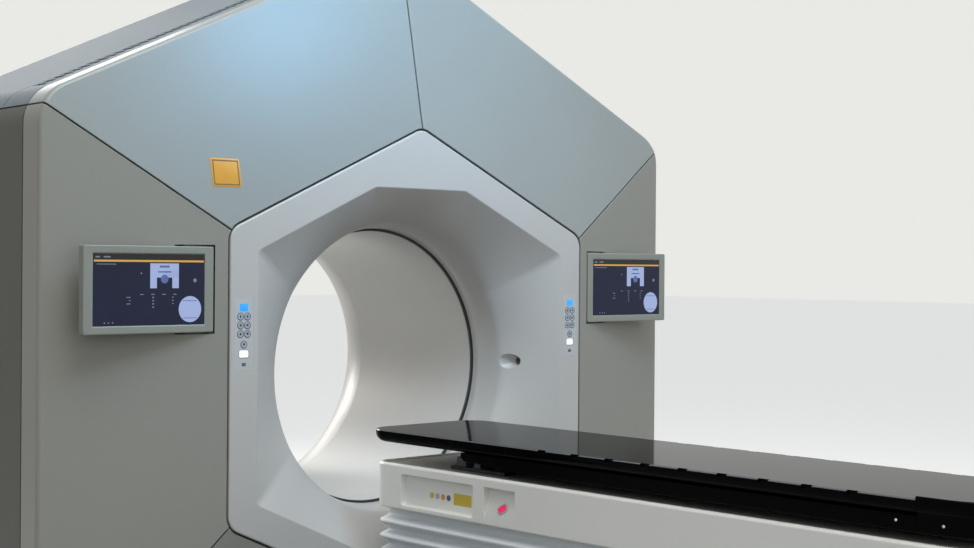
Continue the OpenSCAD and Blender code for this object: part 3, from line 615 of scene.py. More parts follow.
def trimmed(name, points, faces, kind, side, facing):
    """Cuts a right-hand skin along its joints, merges the flat parts and mirrors it for the left."""
    bm = bmesh.new()
    made = [bm.verts.new(p) for p in points]
    for f in faces:
        bm.faces.new([made[i] for i in f])
    for (x, z), (nx, nz) in seams[kind]:
        away = Vector((nx, 0, nz))
        bmesh.ops.bisect_plane(
            bm,
            geom=bm.verts[:] + bm.edges[:] + bm.faces[:],
            plane_co=Vector((x, 0, z)) - away * JOINT / 2,
            plane_no=away,
            clear_outer=True,
        )
    bmesh.ops.remove_doubles(bm, verts=bm.verts, dist=0.01)
    bmesh.ops.dissolve_degenerate(bm, edges=bm.edges, dist=0.01)
    bmesh.ops.dissolve_limit(bm, angle_limit=math.radians(0.25), verts=bm.verts, edges=bm.edges)
    bm.verts.index_update()
    kept = [(v.co.x * side, v.co.y, v.co.z) for v in bm.verts]
    flat = [[v.index for v in f.verts] for f in bm.faces]
    bm.free()
    return solid(name, [(kept, flat)], facing=facing)


def thicken(piece, t=SKIN):
    """Gives a skin the thickness of its sheet, on the inside."""
    shell = piece.modifiers.new("sheet", "SOLIDIFY")
    shell.thickness = t * MM
    shell.offset = -1
    shell.use_even_offset = True
    bpy.context.view_layer.update()
    return settle(piece)


def folded(kind):
    """Skin of one right-hand panel: the flat face, the fold and the return along the side."""
    low, high = spans[kind]
    edge_in = EDGE_R * (1 - math.sin(fall))
    t = bearings([house(0), house(edge_in), hexagon(GAP)], 3, low, high)
    rings = []
    for radii in (reach(hexagon(GAP), t), reach(house(edge_in), t)):
        flat = ring(radii, 0, t)
        rings.append([(x, face_depth(kind, x, z), z) for x, y, z in flat])
    centre = np.array([p[1] for p in rings[1]]) + EDGE_R * math.cos(fall)
    for k in range(1, 7):
        a = fall + (math.pi / 2 - fall) * k / 6
        radii = reach(house(EDGE_R * (1 - math.sin(a))), t)
        rings.append(ring(radii, centre - EDGE_R * math.cos(a), t))
    rings.append(ring(reach(house(0), t), FRONT_D, t))
    return loft(rings, caps=False, closed=False)


MONITOR_X = 1098
MONITOR_Z = 291
MONITOR_W = 461
MONITOR_H = 275
MONITOR_Y = 10
MONITOR_T = 30
POCKET_GAP = 6
pocket_y = MONITOR_Y + MONITOR_T
pocket_x = MONITOR_X - MONITOR_W / 2 - POCKET_GAP
pocket_h = MONITOR_H / 2 + POCKET_GAP
pocket_z = (MONITOR_Z - pocket_h, MONITOR_Z + pocket_h)
SIDES = ((-1, "left"), (1, "right"))
# Satin two-pack paint: a warm grey that drifts a little, with the faint peel of the spray gun. The
# upper panels take the same paint in a cooler grey: painted light, the cool tone standing for the pale ceiling
# they reflect.
warm_paint = surface("aluminium_sprayed_satin_warm", "#8F8F88", "#898982", 500, (0.34, 0.42), 2.6, 0.012)
upper_paint_painted_sky = surface("aluminium_sprayed_satin_painted_sky", "#8C9290", "#858B89", 500, (0.32, 0.4), 2.6, 0.012)
for side, where in SIDES:
    for kind in ("upper", "side", "lower"):
        name = f"panel_{kind}_{where}"
        cover = thicken(trimmed(name + "_sheet", *folded(kind), kind, side, (0, -1, 0)))
        if kind == "side":
            far_side = (MONITOR_X + MONITOR_W / 2 + POCKET_GAP) * side
            x0, x1 = sorted((pocket_x * side, far_side))
            carve(cover, block("pocket", (x0, -5, pocket_z[0]), (x1, pocket_y, pocket_z[1])))
        soften(cover, 1.4, 2, 50)
        # The upper panels get the cooler grey, a painted reflection of the ceiling on the same paint.
        fit(cover, "gantry", "panel_grey", upper_paint_painted_sky if kind == "upper" else warm_paint, name)
    # The tray closes the pocket: a wall at its deep end, a floor, and a cheek above and below.
    near_y = run_slope * (pocket_x - HALF_W)
    xa, xb = pocket_x * side, (HALF_W + pocket_y / run_slope) * side
    plan = ((xa, near_y), (xa, pocket_y), (xb, pocket_y))
    corners = [(x, y, z) for z in pocket_z for x, y in plan]
    walls = [(0, 1, 4, 3), (1, 2, 5, 4), (0, 2, 1), (3, 4, 5)]
    tray = thicken(solid(f"pocket_{where}", [(corners, walls)], facing=(0, -1, 0)), 4)
    fit(tray, "gantry", "panel_grey", warm_paint)

# Plain amber plate on the upper left cover: film printed in amber with a dark border on thin aluminium
# sheet, cut with rounded corners and stuck on.
PLATE = (-859, 624, -754, 718)


def on_cover(out, corner_r, lift):
    """An outline grown from the plate's own, laid on the upper cover and lifted off it."""
    x0, z0, x1, z1 = PLATE[0] - out, PLATE[1] - out, PLATE[2] + out, PLATE[3] + out
    corners = rounded([(x0, z0), (x1, z0), (x1, z1), (x0, z1)], [corner_r] * 4, 4)
    return [(x, face_depth("upper", -x, z) - lift, z) for x, z in corners]


plate_rings = [on_cover(out, 4, lift) for out, lift in ((0, 0.2), (0, 0.9), (-0.8, 1.2))]
amber_plate = solid("plate_amber", [loft(plate_rings)])
# Printed film: flat amber, a little worn in tone.
amber_film = surface("film_printed_amber", "#D39A2C", "#C98F27", 30, (0.4, 0.5), 2.0, 0.005)
fit(amber_plate, "gantry", None, amber_film)
rim_rings = [on_cover(out, 3, lift) for out, lift in ((-5.5, 1.35), (-10, 1.35), (-10, 1.25), (-5.5, 1.25))]
plate_rim = solid("plate_amber_border", [loft(rim_rings, loop=True)])
# Dark ink on the same film: a flat brown line.
dark_print = surface("film_printed_dark", "#6E5422", "#66501F", 20, (0.4, 0.5), 2.0, 0.005)
fit(plate_rim, "gantry", None, dark_print)

# Roof and flank covers: sheet bent over the shoulder and the ridge, with a row of vent slots behind
# the front joint and a seal in a groove behind them. Same sheet and spray as the front, in a lighter
# and a darker shade.
ROOF_Y = (243.5, 1146)
SLOT_L = 23
SLOT_D = 84
SLOT_PITCH = 34
SLOT_END = 1450
SLOT_Y = 303
CUTTER_H = 24
GROOVE_W = 6
groove_y = SLOT_Y + SLOT_D + 21


def strip(side, t, insets, depths):
    """A closed band that follows the roof between two insets and two depths."""
    outer, inner = [reach(house(i), t) for i in insets]
    near, far = depths
    box = [ring(outer, near, t), ring(inner, near, t), ring(inner, far, t), ring(outer, far, t)]
    n = len(t)
    points = [(x * side, y, z) for r in box for x, y, z in r]
    faces = []
    for k in range(4):
        a, b = k * n, (k + 1) % 4 * n
        faces += [(a + i, a + i + 1, b + i + 1, b + i) for i in range(n - 1)]
    faces += [tuple(k * n for k in range(4)), tuple(k * n + n - 1 for k in range(3, -1, -1))]
    return points, faces


def slot_cutter(side, s):
    """Cutter for the slot that starts at a distance s down the slope from the ridge."""
    x, z = s / SLOPE, RIDGE - PITCH_RUN * s / SLOPE
    dx, dz = 1 / SLOPE, -PITCH_RUN / SLOPE
    a, b = (x + CUTTER_H * dz, z - CUTTER_H * dx), (x - CUTTER_H * dz, z + CUTTER_H * dx)
    c = (b[0] + SLOT_L * dx, b[1] + SLOT_L * dz)
    d = (a[0] + SLOT_L * dx, a[1] + SLOT_L * dz)
    return loft([[(p[0] * side, y, p[1]) for p in (a, d, c, b)] for y in (SLOT_Y, SLOT_Y + SLOT_D)])


# Satin paint seen at a flat angle: blurred and without shine, so that roof and flank keep their own tone.
roof_paint = surface(
    "aluminium_sprayed_satin_light", "#80878C", "#798085", 450, (0.6, 0.7), 2.6, 0.012,
    Specular_IOR_Level=0.12,
)
flank_paint = surface(
    "aluminium_sprayed_satin_dark", "#6A6964", "#64635E", 450, (0.4, 0.48), 2.6, 0.012,
    Specular_IOR_Level=0.12,
)
for side, where in SIDES:
    for kind, title, finish, slot_name in (
        ("upper", "roof", roof_paint, "roof_light"),
        ("side", "flank", flank_paint, "flank_dark"),
    ):
        t = bearings([house(0)], 3, *spans[kind])
        line = reach(house(0), t)
        skin = loft([ring(line, y, t) for y in ROOF_Y], caps=False, closed=False)
        outward = (0, 0, 1) if kind == "upper" else (side, 0, 0)
        name = f"{title}_{where}"
        cover = thicken(trimmed(name + "_sheet", *skin, kind, side, outward))
        if kind == "upper":
            starts = range(RIDGE_R, SLOT_END + 1, SLOT_PITCH)
            carve(cover, solid("slots", [slot_cutter(side, s) for s in starts]))
            carve(cover, solid("groove", [strip(side, t, (-3, 5), (groove_y, groove_y + GROOVE_W))]))
            line = strip(side, t[2:-2], (3.6, 4.8), (groove_y + 0.2, groove_y + GROOVE_W - 0.2))
            fit(solid(f"groove_seal_{where}", [line]), "gantry", "seal_rubber", rubber)
        soften(cover, 1.2, 2, 50)
        fit(cover, "gantry", slot_name, finish, name)

# Rear covers: one pressed sheet for each half, folded round the edge and cut out for the rear bezel.
# Same aluminium and light spray as the roof, hung on the cover frame.
BACK_Y = 1150
seams["rear"] = [middle]
for side, where in SIDES:
    t = bearings([house(0)], 2, -92, 92)
    rings = [ring(rear_hole + 0.6, REAR_Y, t)]
    for a in quarter_turn(6)[::-1]:
        radii = reach(house(EDGE_R * (1 - math.cos(a))), t)
        rings.append(ring(radii, REAR_Y - EDGE_R * (1 - math.sin(a)), t))
    rings.append(ring(reach(house(0), t), BACK_Y, t))
    points, faces = loft(rings, caps=False, closed=False)
    cover = thicken(trimmed(f"rear_cover_{where}_sheet", points, faces, "rear", side, (0, 1, 0)))
    soften(cover, 1.2, 2, 50)
    fit(cover, "gantry", "roof_light", roof_paint, f"rear_cover_{where}")

# Monitors: a cast housing with a flat rim round a sunk screen, half let into the side cover and
# held at its outer end by a wedge bracket. Die-cast aluminium, sprayed to match the covers.
SCREEN_W = 395
SCREEN_H = 223
LIP = 2
BRACKET_Y = 39
BRACKET_H = 120
xa, xb = MONITOR_X - 30, MONITOR_X + 170


def plate(w, h, r, steps=6):
    """Outline of a plate with rounded corners, about its middle."""
    return rounded([(-w / 2, -h / 2), (w / 2, -h / 2), (w / 2, h / 2), (-w / 2, h / 2)], [r] * 4, steps)


housing_turns = bearings([plate(MONITOR_W, MONITOR_H, 6), plate(SCREEN_W, SCREEN_H, 2)], 6)
profile = [
    (MONITOR_W - 8, MONITOR_H - 8, 4, 40),
    (MONITOR_W - 1.5, MONITOR_H - 1.5, 6, 39.2),
    (MONITOR_W, MONITOR_H, 6, 37),
    (MONITOR_W, MONITOR_H, 6, 13),
    (MONITOR_W - 1.2, MONITOR_H - 1.2, 5.5, 11),
    (MONITOR_W - 5, MONITOR_H - 5, 4.5, 10),
    (MONITOR_W - 8, MONITOR_H - 8, 4.5, 10),
    (SCREEN_W + 9, SCREEN_H + 9, 3, 10.2),
    (SCREEN_W + 6, SCREEN_H + 6, 2.5, 10.8),
    (SCREEN_W, SCREEN_H, 1.5, 12.5),
    (SCREEN_W, SCREEN_H, 1.5, 14.5),
]
# Sprayed casting: a greenish grey, satin, with the slight grain of the die.
housing_paint = surface("aluminium_cast_sprayed", "#8A8E86", "#848880", 160, (0.36, 0.44), 2.0, 0.015)
for side, where in SIDES:
    rings = []
    for *size, y in profile:
        flat = ring(reach(plate(*size), housing_turns), y, housing_turns)
        rings.append([(x + side * MONITOR_X, d, z + MONITOR_Z) for x, d, z in flat])
    front = [(x, face_depth("side", x, 0)) for x in (xb, xa)]
    corners = [(xa, BRACKET_Y), (xb, BRACKET_Y)] + front
    wedge = loft([[(x * side, y, MONITOR_Z + h) for x, y in corners] for h in (-BRACKET_H / 2, BRACKET_H / 2)])
    housing = solid(f"monitor_{where}_housing", [loft(rings)])
    bracket = solid(f"monitor_{where}_bracket", [wedge])
    soften(bracket, 2.5, 3)
    soften(housing, 0.5, 1, 60)
    fit(housing, "gantry", "monitor_grey", housing_paint, f"monitor_{where}")
    fit(bracket, "gantry", "monitor_grey", housing_paint)

# Screens: bonded glass over the display, with a dark field, a black bar, an amber line and plain
# generic graphics. The lit parts are thin flat shapes under the glass.


def glow(finish, colour, strength):
    """Lets a finish give light of its own."""
    shader = finish.node_tree.nodes["Principled BSDF"]
    shader.inputs["Emission Color"].default_value = linear(colour)
    shader.inputs["Emission Strength"].default_value = strength
    return finish


def lit(name, colour, strength, rough=(0.08, 0.12)):
    """A nearly black finish that shows its own light."""
    return glow(surface(name, "#08090C", "#0A0B0F", 40, rough, 3.0, 0.0), colour, strength)


# Glass over a dark display: nearly black with a faint blue glow and a calm, weak reflection.
field = surface("glass_display_dark", "#0B0E18", "#111526", 90, (0.06, 0.1), 3.0, 0.0, Specular_IOR_Level=0.2)
glow(field, "#2A3250", 0.35)
# Lit parts of the display: each gives its own even light through the same glass.
bar_black = lit("display_black", "#05060A", 0.5)
line_amber = lit("display_amber", "#D2A044", 0.95)
pale_blue = lit("display_pale_blue", "#A9BCEB", 0.8)
mid_blue = lit("display_mid_blue", "#5F74B4", 0.7)
mark_grey = lit("display_grey", "#8A94AE", 0.6)


def patch(centre, shapes, lift):
    """Flat shapes on the screen, in shares of its width from the left and of its height from the top."""
    points, faces = [], []
    for shape in shapes:
        start = len(points)
        for u, v in shape:
            x = centre + (u - 0.5) * SCREEN_W
            points.append((x, MONITOR_Y + LIP - lift, MONITOR_Z + (0.5 - v) * SCREEN_H))
        faces.append(tuple(range(start, len(points))))
    return points, faces


def bar(u0, v0, u1, v1):
    return [(u0, v0), (u0, v1), (u1, v1), (u1, v0)]


def disc(u, v, r, steps=40):
    ratio = SCREEN_W / SCREEN_H
    return [(u + r * math.cos(a), v - r * ratio * math.sin(a)) for a in circle(steps)]


marks = [bar(0.02 + 0.07 * k, 0.035, 0.06 + 0.09 * k, 0.055) for k in range(2)]
marks += [bar(0.29 + 0.022 * (k % 2), 0.60 + 0.045 * k, 0.325, 0.612 + 0.045 * k) for k in range(3)]
marks += [bar(0.41 + 0.1 * k, 0.56, 0.44 + 0.1 * k, 0.572) for k in range(4)]
marks += [bar(0.52, 0.60 + 0.045 * k, 0.535, 0.618 + 0.045 * k) for k in range(4)]
marks += [bar(0.70, 0.60 + 0.045 * k, 0.712, 0.615 + 0.045 * k) for k in range(3)]
marks += [disc(0.10 + 0.035 * k, 0.955, 0.006, 10) for k in range(3)]
marks += [bar(0.03, 0.14, 0.20, 0.15), disc(0.91, 0.37, 0.016, 14), disc(0.42, 0.27, 0.007, 10)]
block_shape = [bar(0.50, 0.13, 0.76, 0.33), bar(0.50, 0.33, 0.56, 0.48), bar(0.70, 0.33, 0.76, 0.48)]
block_inner = [bar(0.585, 0.16, 0.675, 0.19), bar(0.57, 0.24, 0.69, 0.26), disc(0.63, 0.35, 0.035, 24)]
finishes = [field, bar_black, line_amber, pale_blue, mid_blue, mark_grey]
for side, where in SIDES:
    x = side * MONITOR_X
    w, h, y = SCREEN_W / 2, SCREEN_H / 2, MONITOR_Y + LIP
    base = [[(x + u, d, MONITOR_Z + v) for u, v in ((-w, -h), (w, -h), (w, h), (-w, h))] for d in (y, y + 2)]
    parts = [
        loft(base),
        patch(x, [bar(0, 0, 1, 0.085)], 0.10),
        patch(x, [bar(0.008, 0.085, 0.992, 0.112)], 0.12),
        patch(x, block_shape + [disc(0.865, 0.78, 0.105)], 0.14),
        patch(x, block_inner + [bar(0.80, 0.655, 0.93, 0.665), bar(0.80, 0.90, 0.93, 0.91)], 0.18),
        patch(x, marks, 0.16),
    ]
    display = solid(f"screen_{where}_glass", parts)
    fit(display, "gantry", "screen_glass", finishes, f"screen_{where}")

# Keypads: a moulded insert in the bezel band with eight openings. ABS, moulded in the bezel's white,
# with collars that stand a little proud round the keys.
KEY_R = 10.5
KEY_GAP = 27
KEY_PITCH = 28.5
KEY_TOP = 57
KEYPAD_T = 13
RUN = 0.3
single_z = KEY_TOP - 3 * KEY_PITCH - 5.5
lit_z = single_z - 31
small_lamp_z = lit_z - 35
big_lamp_z = KEY_TOP + 30
LIT_W = 36
LIT_H = 24


def key_at(i):
    """Place of a key on its pad: three pairs, a single key, and the lit key below it."""
    if i <= 6:
        return ((-1 if i % 2 else 1) * KEY_GAP / 2, KEY_TOP - (i - 1) // 2 * KEY_PITCH)
    return (0, single_z if i == 7 else lit_z)


def key_line(i, grow):
    """Outline of a key, grown by grow: the lit one is oblong, the others round."""
    if i == 8:
        return plate(LIT_W + 2 * grow, LIT_H + 2 * grow, 5 + grow, 6)
    return plate(2 * (KEY_R + grow), 2 * (KEY_R + grow), KEY_R + grow - 0.01, 8)


def on_pad(side, i, grow, y):
    """The outline of a key at its place, at one depth."""
    cx, cz = key_at(i)
    return [(side * KEYPAD_X + cx + u, y, KEYPAD_Z + cz + v) for u, v in key_line(i, grow)]


# Moulded ABS: even and slightly soft, with the fine grain of the mould.
abs_white = surface("abs_moulded_white", "#BEC1C2", "#B8BBBC", 60, (0.34, 0.42), 1.2, 0.01)
abs_dark = surface("abs_moulded_slate", "#5A6270", "#535B68", 20, (0.4, 0.5), 1.0, 0.01)
key_abs = surface("abs_moulded_grey", "#A7AFBC", "#A0A8B5", 20, (0.4, 0.5), 1.0, 0.01)
# Pad-printed ink: flat, dark and dull.
key_print = surface("ink_printed_dark", "#1C2026", "#16191E", 6, (0.4, 0.5), 1.0, 0.0)
# Polycarbonate lit from behind: an even glow under a soft gloss.
key_white = lit("polycarbonate_lit_white", "#FFFFFF", 0.95, (0.3, 0.35))
lamp_blue = lit("polycarbonate_lit_blue", "#2C98FA", 1.25, (0.2, 0.25))
ROUND_COLLAR = [(2.6, 0.4), (2.5, -0.5), (2.0, -0.9), (1.1, -0.9), (0.5, -0.6), (0.4, 0.4)]
OBLONG_COLLAR = [(2.4, 0.4), (2.2, -0.4), (1.6, -0.7), (0.9, -0.7), (0.5, -0.4), (0.4, 0.4)]
KEY_CAP = [(0, 8.1), (0, -0.3), (-0.4, -0.85), (-1.0, -1.0), (-2.0, -0.95), (-4, -0.6)]
PRINT_Y = -0.72
ARROW_UP = [(-5, -1.5), (0, 5), (5, -1.5), (1.8, -1.5), (1.8, -5), (-1.8, -5), (-1.8, -1.5)]
TICK = [(-4, -4), (4, -4), (4, 0.5), (0, 4.5), (-4, 0.5)]


def turned(shape, times):
    """A printed mark turned by quarter turns."""
    for _ in range(times):
        shape = [(-z, x) for x, z in shape]
    return shape


glyphs = {
    1: ARROW_UP,
    2: turned(ARROW_UP, 2),
    3: turned(ARROW_UP, 1),
    4: turned(ARROW_UP, 3),
    5: TICK,
    6: turned(TICK, 2),
    7: [(-3.5, -3.5), (3.5, -3.5), (3.5, 3.5), (-3.5, 3.5)],
}
for side, where in SIDES:
    cx = side * KEYPAD_X
    w, h = KEYPAD_W / 2 - RUN, KEYPAD_H / 2 - RUN
    low = (cx - w, 0, KEYPAD_Z - h)
    insert = block(f"keypad_{where}_insert", low, (cx + w, KEYPAD_T, KEYPAD_Z + h))
    holes = [loft([on_pad(side, i, RUN, y) for y in (-3, KEYPAD_T - 3)]) for i in range(1, 9)]
    carve(insert, solid("holes", holes))
    soften(insert, 0.5, 2, 50)
    fit(insert, "gantry", "keypad_white", abs_white, f"keypad_{where}")
    collars = []
    for i in range(1, 9):
        section = OBLONG_COLLAR if i == 8 else ROUND_COLLAR
        collars.append(loft([on_pad(side, i, grow, y) for grow, y in section], loop=True))
    collar = solid(f"keypad_{where}_collars", collars, crease=60)
    fit(collar, "gantry", "keypad_white", abs_dark)
    for i in range(1, 9):
        parts = [loft([on_pad(side, i, grow, y) for grow, y in KEY_CAP])]
        if i in glyphs:
            px, pz = key_at(i)
            drawn = [(cx + px + u, PRINT_Y, KEYPAD_Z + pz + v) for u, v in glyphs[i]]
            parts.append((drawn, [tuple(range(len(drawn)))]))
        cap = solid(f"key_{where}_{i}_cap", parts, crease=50)
        slot_name, finish = ("key_lit", key_white) if i == 8 else ("key_grey", [key_abs, key_print])
        fit(cap, f"key_{where}_{i}_body", slot_name, finish, f"key_{where}_{i}")
    for kind, size, z, slot_name, finish in (
        ("blue", (34, 25), big_lamp_z, "key_lit", lamp_blue),
        ("small", (16, 11), small_lamp_z, "key_grey", abs_dark),
    ):
        outline = plate(*size, 2.5, 4)
        rings = []
        for shrink, y in ((1, 0.5), (1, -0.1), (0.97, -0.35)):
            rings.append([(cx + u * shrink, y, KEYPAD_Z + z + v * shrink) for u, v in outline])
        fit(solid(f"lamp_{where}_{kind}", [loft(rings)]), "gantry", slot_name, finish)

# Couch lift under the bellows: square steel tubes that slide in each other, pushed up by a screw inside
# them. They are cold drawn, ground and oiled.

# Ground tube: a bright grey metal with fine lines along its length.
tube_steel = surface(
    "steel_tube_ground", "#A3A7AA", "#999DA0", 80, (0.2, 0.34), 1.0, 0.01, (1, 1, 10), Metallic=1.0
)
dress(["lift_stage", "lift_post"], tube_steel, 1)

# Bellows round the lift: a folded skin of coated fabric welded to a collar at each end, between the base and
# the couch body. On the couch its folds open and close as it goes up and down; here they are built at one
# height.
COUCH_W = 504
BODY_Y = (-2398, -88)
BODY_HEAD = -42
BODY_TOP = -302
BODY_LOW = -456
BASE_TOP = -1010
FOLDS = 10
FOLD_D = 36
FOLD_STEPS = 12
FOLD_POWER = 2.2
CREST = 2
CLOTH_T = 4
fold_z = (BASE_TOP + 10, BODY_LOW - 24)


def body_plan(inset, steps=8, y1=BODY_HEAD):
    """Outline of the couch body seen from above, drawn in by inset."""
    w, y0, y1 = COUCH_W / 2 - inset, BODY_Y[0] + inset, y1 - inset
    corners = [(-w, y0), (w, y0), (w, y1), (-w, y1)]
    return rounded(corners, [150 - inset, 150 - inset, 60 - inset, 60 - inset], steps)


def tiers(plan, levels, *how):
    """The plan's outline at each level, drawn in by that level's inset."""
    return [[(x, y, z) for x, y in plan(inset, *how)] for z, inset in levels]


pitch = (fold_z[1] - fold_z[0]) / FOLDS
levels = [(BASE_TOP, FOLD_D)]
for k in range(FOLD_STEPS * FOLDS + 1):
    wave = abs(math.cos(math.pi * k / FOLD_STEPS)) ** FOLD_POWER
    levels.append((fold_z[0] + k * pitch / FOLD_STEPS, CREST + (FOLD_D - CREST) * wave))
levels.append((BODY_LOW, FOLD_D))
inside = [(z, inset + CLOTH_T) for z, inset in reversed(levels)]
bellows = solid("bellows_skin", [loft(tiers(body_plan, levels + inside), loop=True)], crease=75)
# PVC coated polyester: soft pale grey with the fine weave just showing through the coating.
coated_cloth = surface("polyester_pvc_coated", "#D2D7DB", "#CAD0D4", 120, (0.45, 0.58), 1.6, 0.05)
bellows.data.materials.append(coated_cloth)
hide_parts("bellows")
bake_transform(bellows)

# Couch base under the bellows: a folded steel skirt with a floor plate and the two fixed sleeves of the
# lift, welded together, powder coated and bolted to the floor.
FLOOR_Z = -AXIS_H
SLEEVE_TOP = -780
SLEEVE_Y = (-648, -1838)
sleeve_low = FLOOR_Z + 10.2
section = [(FLOOR_Z, 10), (-1012, 10), (BASE_TOP, 12), (BASE_TOP, 50), (-1020, 50), (-1020, 22), (FLOOR_Z, 22)]
base = solid("couch_base_skirt", [loft(tiers(body_plan, section), loop=True)])
# Notch for the bar that ties the base to the gantry's floor plate.
carve(base, block("tie", (-240.3, -115, FLOOR_Z - 1), (240.3, -20, -1099.6)))
soften(base, 1.5, 2, 50)
fit(base, "gantry", "stand_paint", coated_steel, "couch_base")
sleeves = [loft(tiers(body_plan, [(FLOOR_Z + 0.5, 22), (FLOOR_Z + 10, 22)], 8, BODY_Y[1]))]
for y in SLEEVE_Y:
    rings = []
    for half, z in ((125, sleeve_low), (125, SLEEVE_TOP), (117, SLEEVE_TOP), (117, sleeve_low)):
        rings.append([(x, y + d, z) for x, d in ((-half, -half), (half, -half), (half, half), (-half, half))])
    sleeves.append(loft(rings, loop=True))
sleeves = solid("couch_base_sleeves", sleeves)
soften(sleeves, 1, 2, 50)
fit(sleeves, "gantry", "stand_paint", coated_steel)

# Couch body: the long white shell that carries the deck, with a recess for labels and a recess for
# the red button on each side. Moulded polyurethane, painted; it hangs on the carrier inside.
RECESS_TOP = BODY_TOP - 31
RECESS_H = 107
RECESS_Y = (BODY_Y[1] - 669, BODY_Y[1] - 523)
LABEL_Y = (BODY_Y[1] - 473, BODY_Y[1] - 107)
LABEL_DEEP = 22
BUTTON_DEEP = 30


def rolled(top, r):
    """Levels and insets round a top edge of radius r."""
    return [(top - r + r * math.sin(a), r * (1 - math.cos(a))) for a in quarter_turn(5)]


levels = [(BODY_LOW, 8), (BODY_LOW + 0.9, 3.8), (BODY_LOW + 3, 1.2), (BODY_LOW + 7, 0), *rolled(BODY_TOP, 10)]
levels += [(BODY_TOP, 13.4), (BODY_TOP - 0.8, 14), (BODY_TOP - 9, 14)]
body_shell = solid("couch_body_shell", [loft(tiers(body_plan, levels, 14))], crease=40)
for side in (-1, 1):
    rings = []
    for depth, shrink in ((-3, -2.5), (0, 0), (LABEL_DEEP - 3, 3), (LABEL_DEEP - 0.8, 4.4), (LABEL_DEEP, 8)):
        w, h = LABEL_Y[1] - LABEL_Y[0] - 2 * shrink, RECESS_H - 2 * shrink
        centre_y, centre_z = sum(LABEL_Y) / 2, RECESS_TOP - RECESS_H / 2
        x = side * (COUCH_W / 2 - depth)
        rings.append([(x, centre_y + u, centre_z + v) for u, v in plate(w, h, 12 - shrink / 2, 6)])
    carve(body_shell, solid("label_recess", [loft(rings)]), crease=40)
    x0, x1 = side * (COUCH_W / 2 + 3), side * (COUCH_W / 2 - BUTTON_DEEP)
    section = [
        (x0, RECESS_TOP),
        (x1 + side * 4, RECESS_TOP - 1),
        (x1, RECESS_TOP - 5),
        (x1, RECESS_TOP - 14),
        (x1 + side * 2, RECESS_TOP - 20),
        (side * COUCH_W / 2, RECESS_TOP - RECESS_H),
        (x0, RECESS_TOP - RECESS_H - 10),
    ]
    tool = solid("button_recess", [loft([[(x, y, z) for x, z in section] for y in RECESS_Y])])
    soften(tool, 7, 4, 60)
    settle(tool)
    carve(body_shell, tool, crease=40)
soften(body_shell, 1.6, 3, 42)
# Painted polyurethane: a warm white, satin, slightly softer than the gel coat.
shell_paint = surface("polyurethane_painted_white", "#E6E6E2", "#E0E0DC", 300, (0.34, 0.42), 2.4, 0.01)
fit(body_shell, "couch_carrier", "white_moulding", shell_paint, "couch_body")

# Plain film plates in the label recesses, stuck on: a yellow one and four small discs. They are cut
# from printed polyester film.

# Printed film: an even yellow with a soft gloss.
yellow_film = surface("film_printed_yellow", "#CDB63A", "#C6AF35", 30, (0.4, 0.5), 2.0, 0.005)
for side, where in SIDES:
    x = side * (COUCH_W / 2 - LABEL_DEEP)
    lifts = (x - side * 0.2, x + side * 0.6)
    for name, y0, z0, w, h, finish, r in (
        ("yellow", -530, -412, 86, 38, yellow_film, 3),
        ("disc_slate", -428, -403, 20, 20, abs_dark, 9.9),
        ("disc_amber", -400, -403, 20, 20, amber_film, 9.9),
        ("disc_grey", -372, -403, 20, 20, key_abs, 9.9),
        ("disc_yellow", -344, -403, 20, 20, yellow_film, 9.9),
    ):
        rings = [[(d, y0 + w / 2 + u, z0 + h / 2 + v) for u, v in plate(w, h, r, 8)] for d in lifts]
        film = solid(f"label_{name}_{where}", [loft(rings)])
        fit(film, "couch_carrier", None, finish)

# Red buttons in the couch body: a lit oval cap of polycarbonate in a pale ABS ring, set square to the
# slanted recess. The ring snaps into the shell from outside and holds the switch.
BUTTON_L = 34
BUTTON_H = 16
BUTTON_SLANT = math.radians(31)
CAP_STEPS = ((0, -8), (0, 6.0), (-0.6, 6.8), (-2, 7.3), (-4, 7.1), (-6, 6.7))
COLLAR_STEPS = ((6.5, -0.5), (6.2, 3.2), (5.2, 4.6), (3.4, 4.8), (1.6, 3.0), (1.4, -0.5))
stop_y = BODY_Y[1] - 601
stop_z = RECESS_TOP - 64
tilt = math.atan(BUTTON_DEEP / (RECESS_H - 12))
stop_x = COUCH_W / 2 - BUTTON_DEEP * (stop_z - RECESS_TOP + RECESS_H) / (RECESS_H - 12)


def at_button(side, outline, out):
    """Places an outline on the slanted recess, lifted off it by out."""
    normal = Vector((math.cos(tilt), 0, math.sin(tilt)))
    rise = Vector((-math.sin(tilt), 0, math.cos(tilt)))
    cos, sin = math.cos(BUTTON_SLANT), math.sin(BUTTON_SLANT)
    made = []
    for u, v in outline:
        p = Vector((stop_x, stop_y + u * cos + v * sin, stop_z)) + rise * (v * cos - u * sin) + normal * out
        made.append((side * p.x, p.y, p.z))
    return made


def oval_rings(side, steps):
    """Rings round the oval button: each step grows the oval and lifts it off the recess."""
    rings = []
    for grow, out in steps:
        length, height = BUTTON_L + 2 * grow, BUTTON_H + 2 * grow
        rings.append(at_button(side, plate(length, height, height / 2 - 0.01, 12), out))
    return rings


# Polycarbonate lit from behind: an even pinkish red with a soft highlight.
cap_red = lit("polycarbonate_lit_red", "#E82462", 0.85, (0.2, 0.26))
for side, where in SIDES:
    cap = solid(f"stop_button_{where}_cap", [loft(oval_rings(side, CAP_STEPS))], crease=50)
    fit(cap, f"stop_{where}_body", "stop_red", cap_red, f"stop_button_{where}")
    collar = loft(oval_rings(side, COLLAR_STEPS), loop=True)
    fit(solid(f"stop_collar_{where}", [collar], crease=50), "couch_carrier", "white_moulding", abs_white)

# Deck on the couch body and the saddle on it: an aluminium plate with a matt coat, and a black steel
# rail on a sole plate, with two end blocks, on which the couch frame slides.

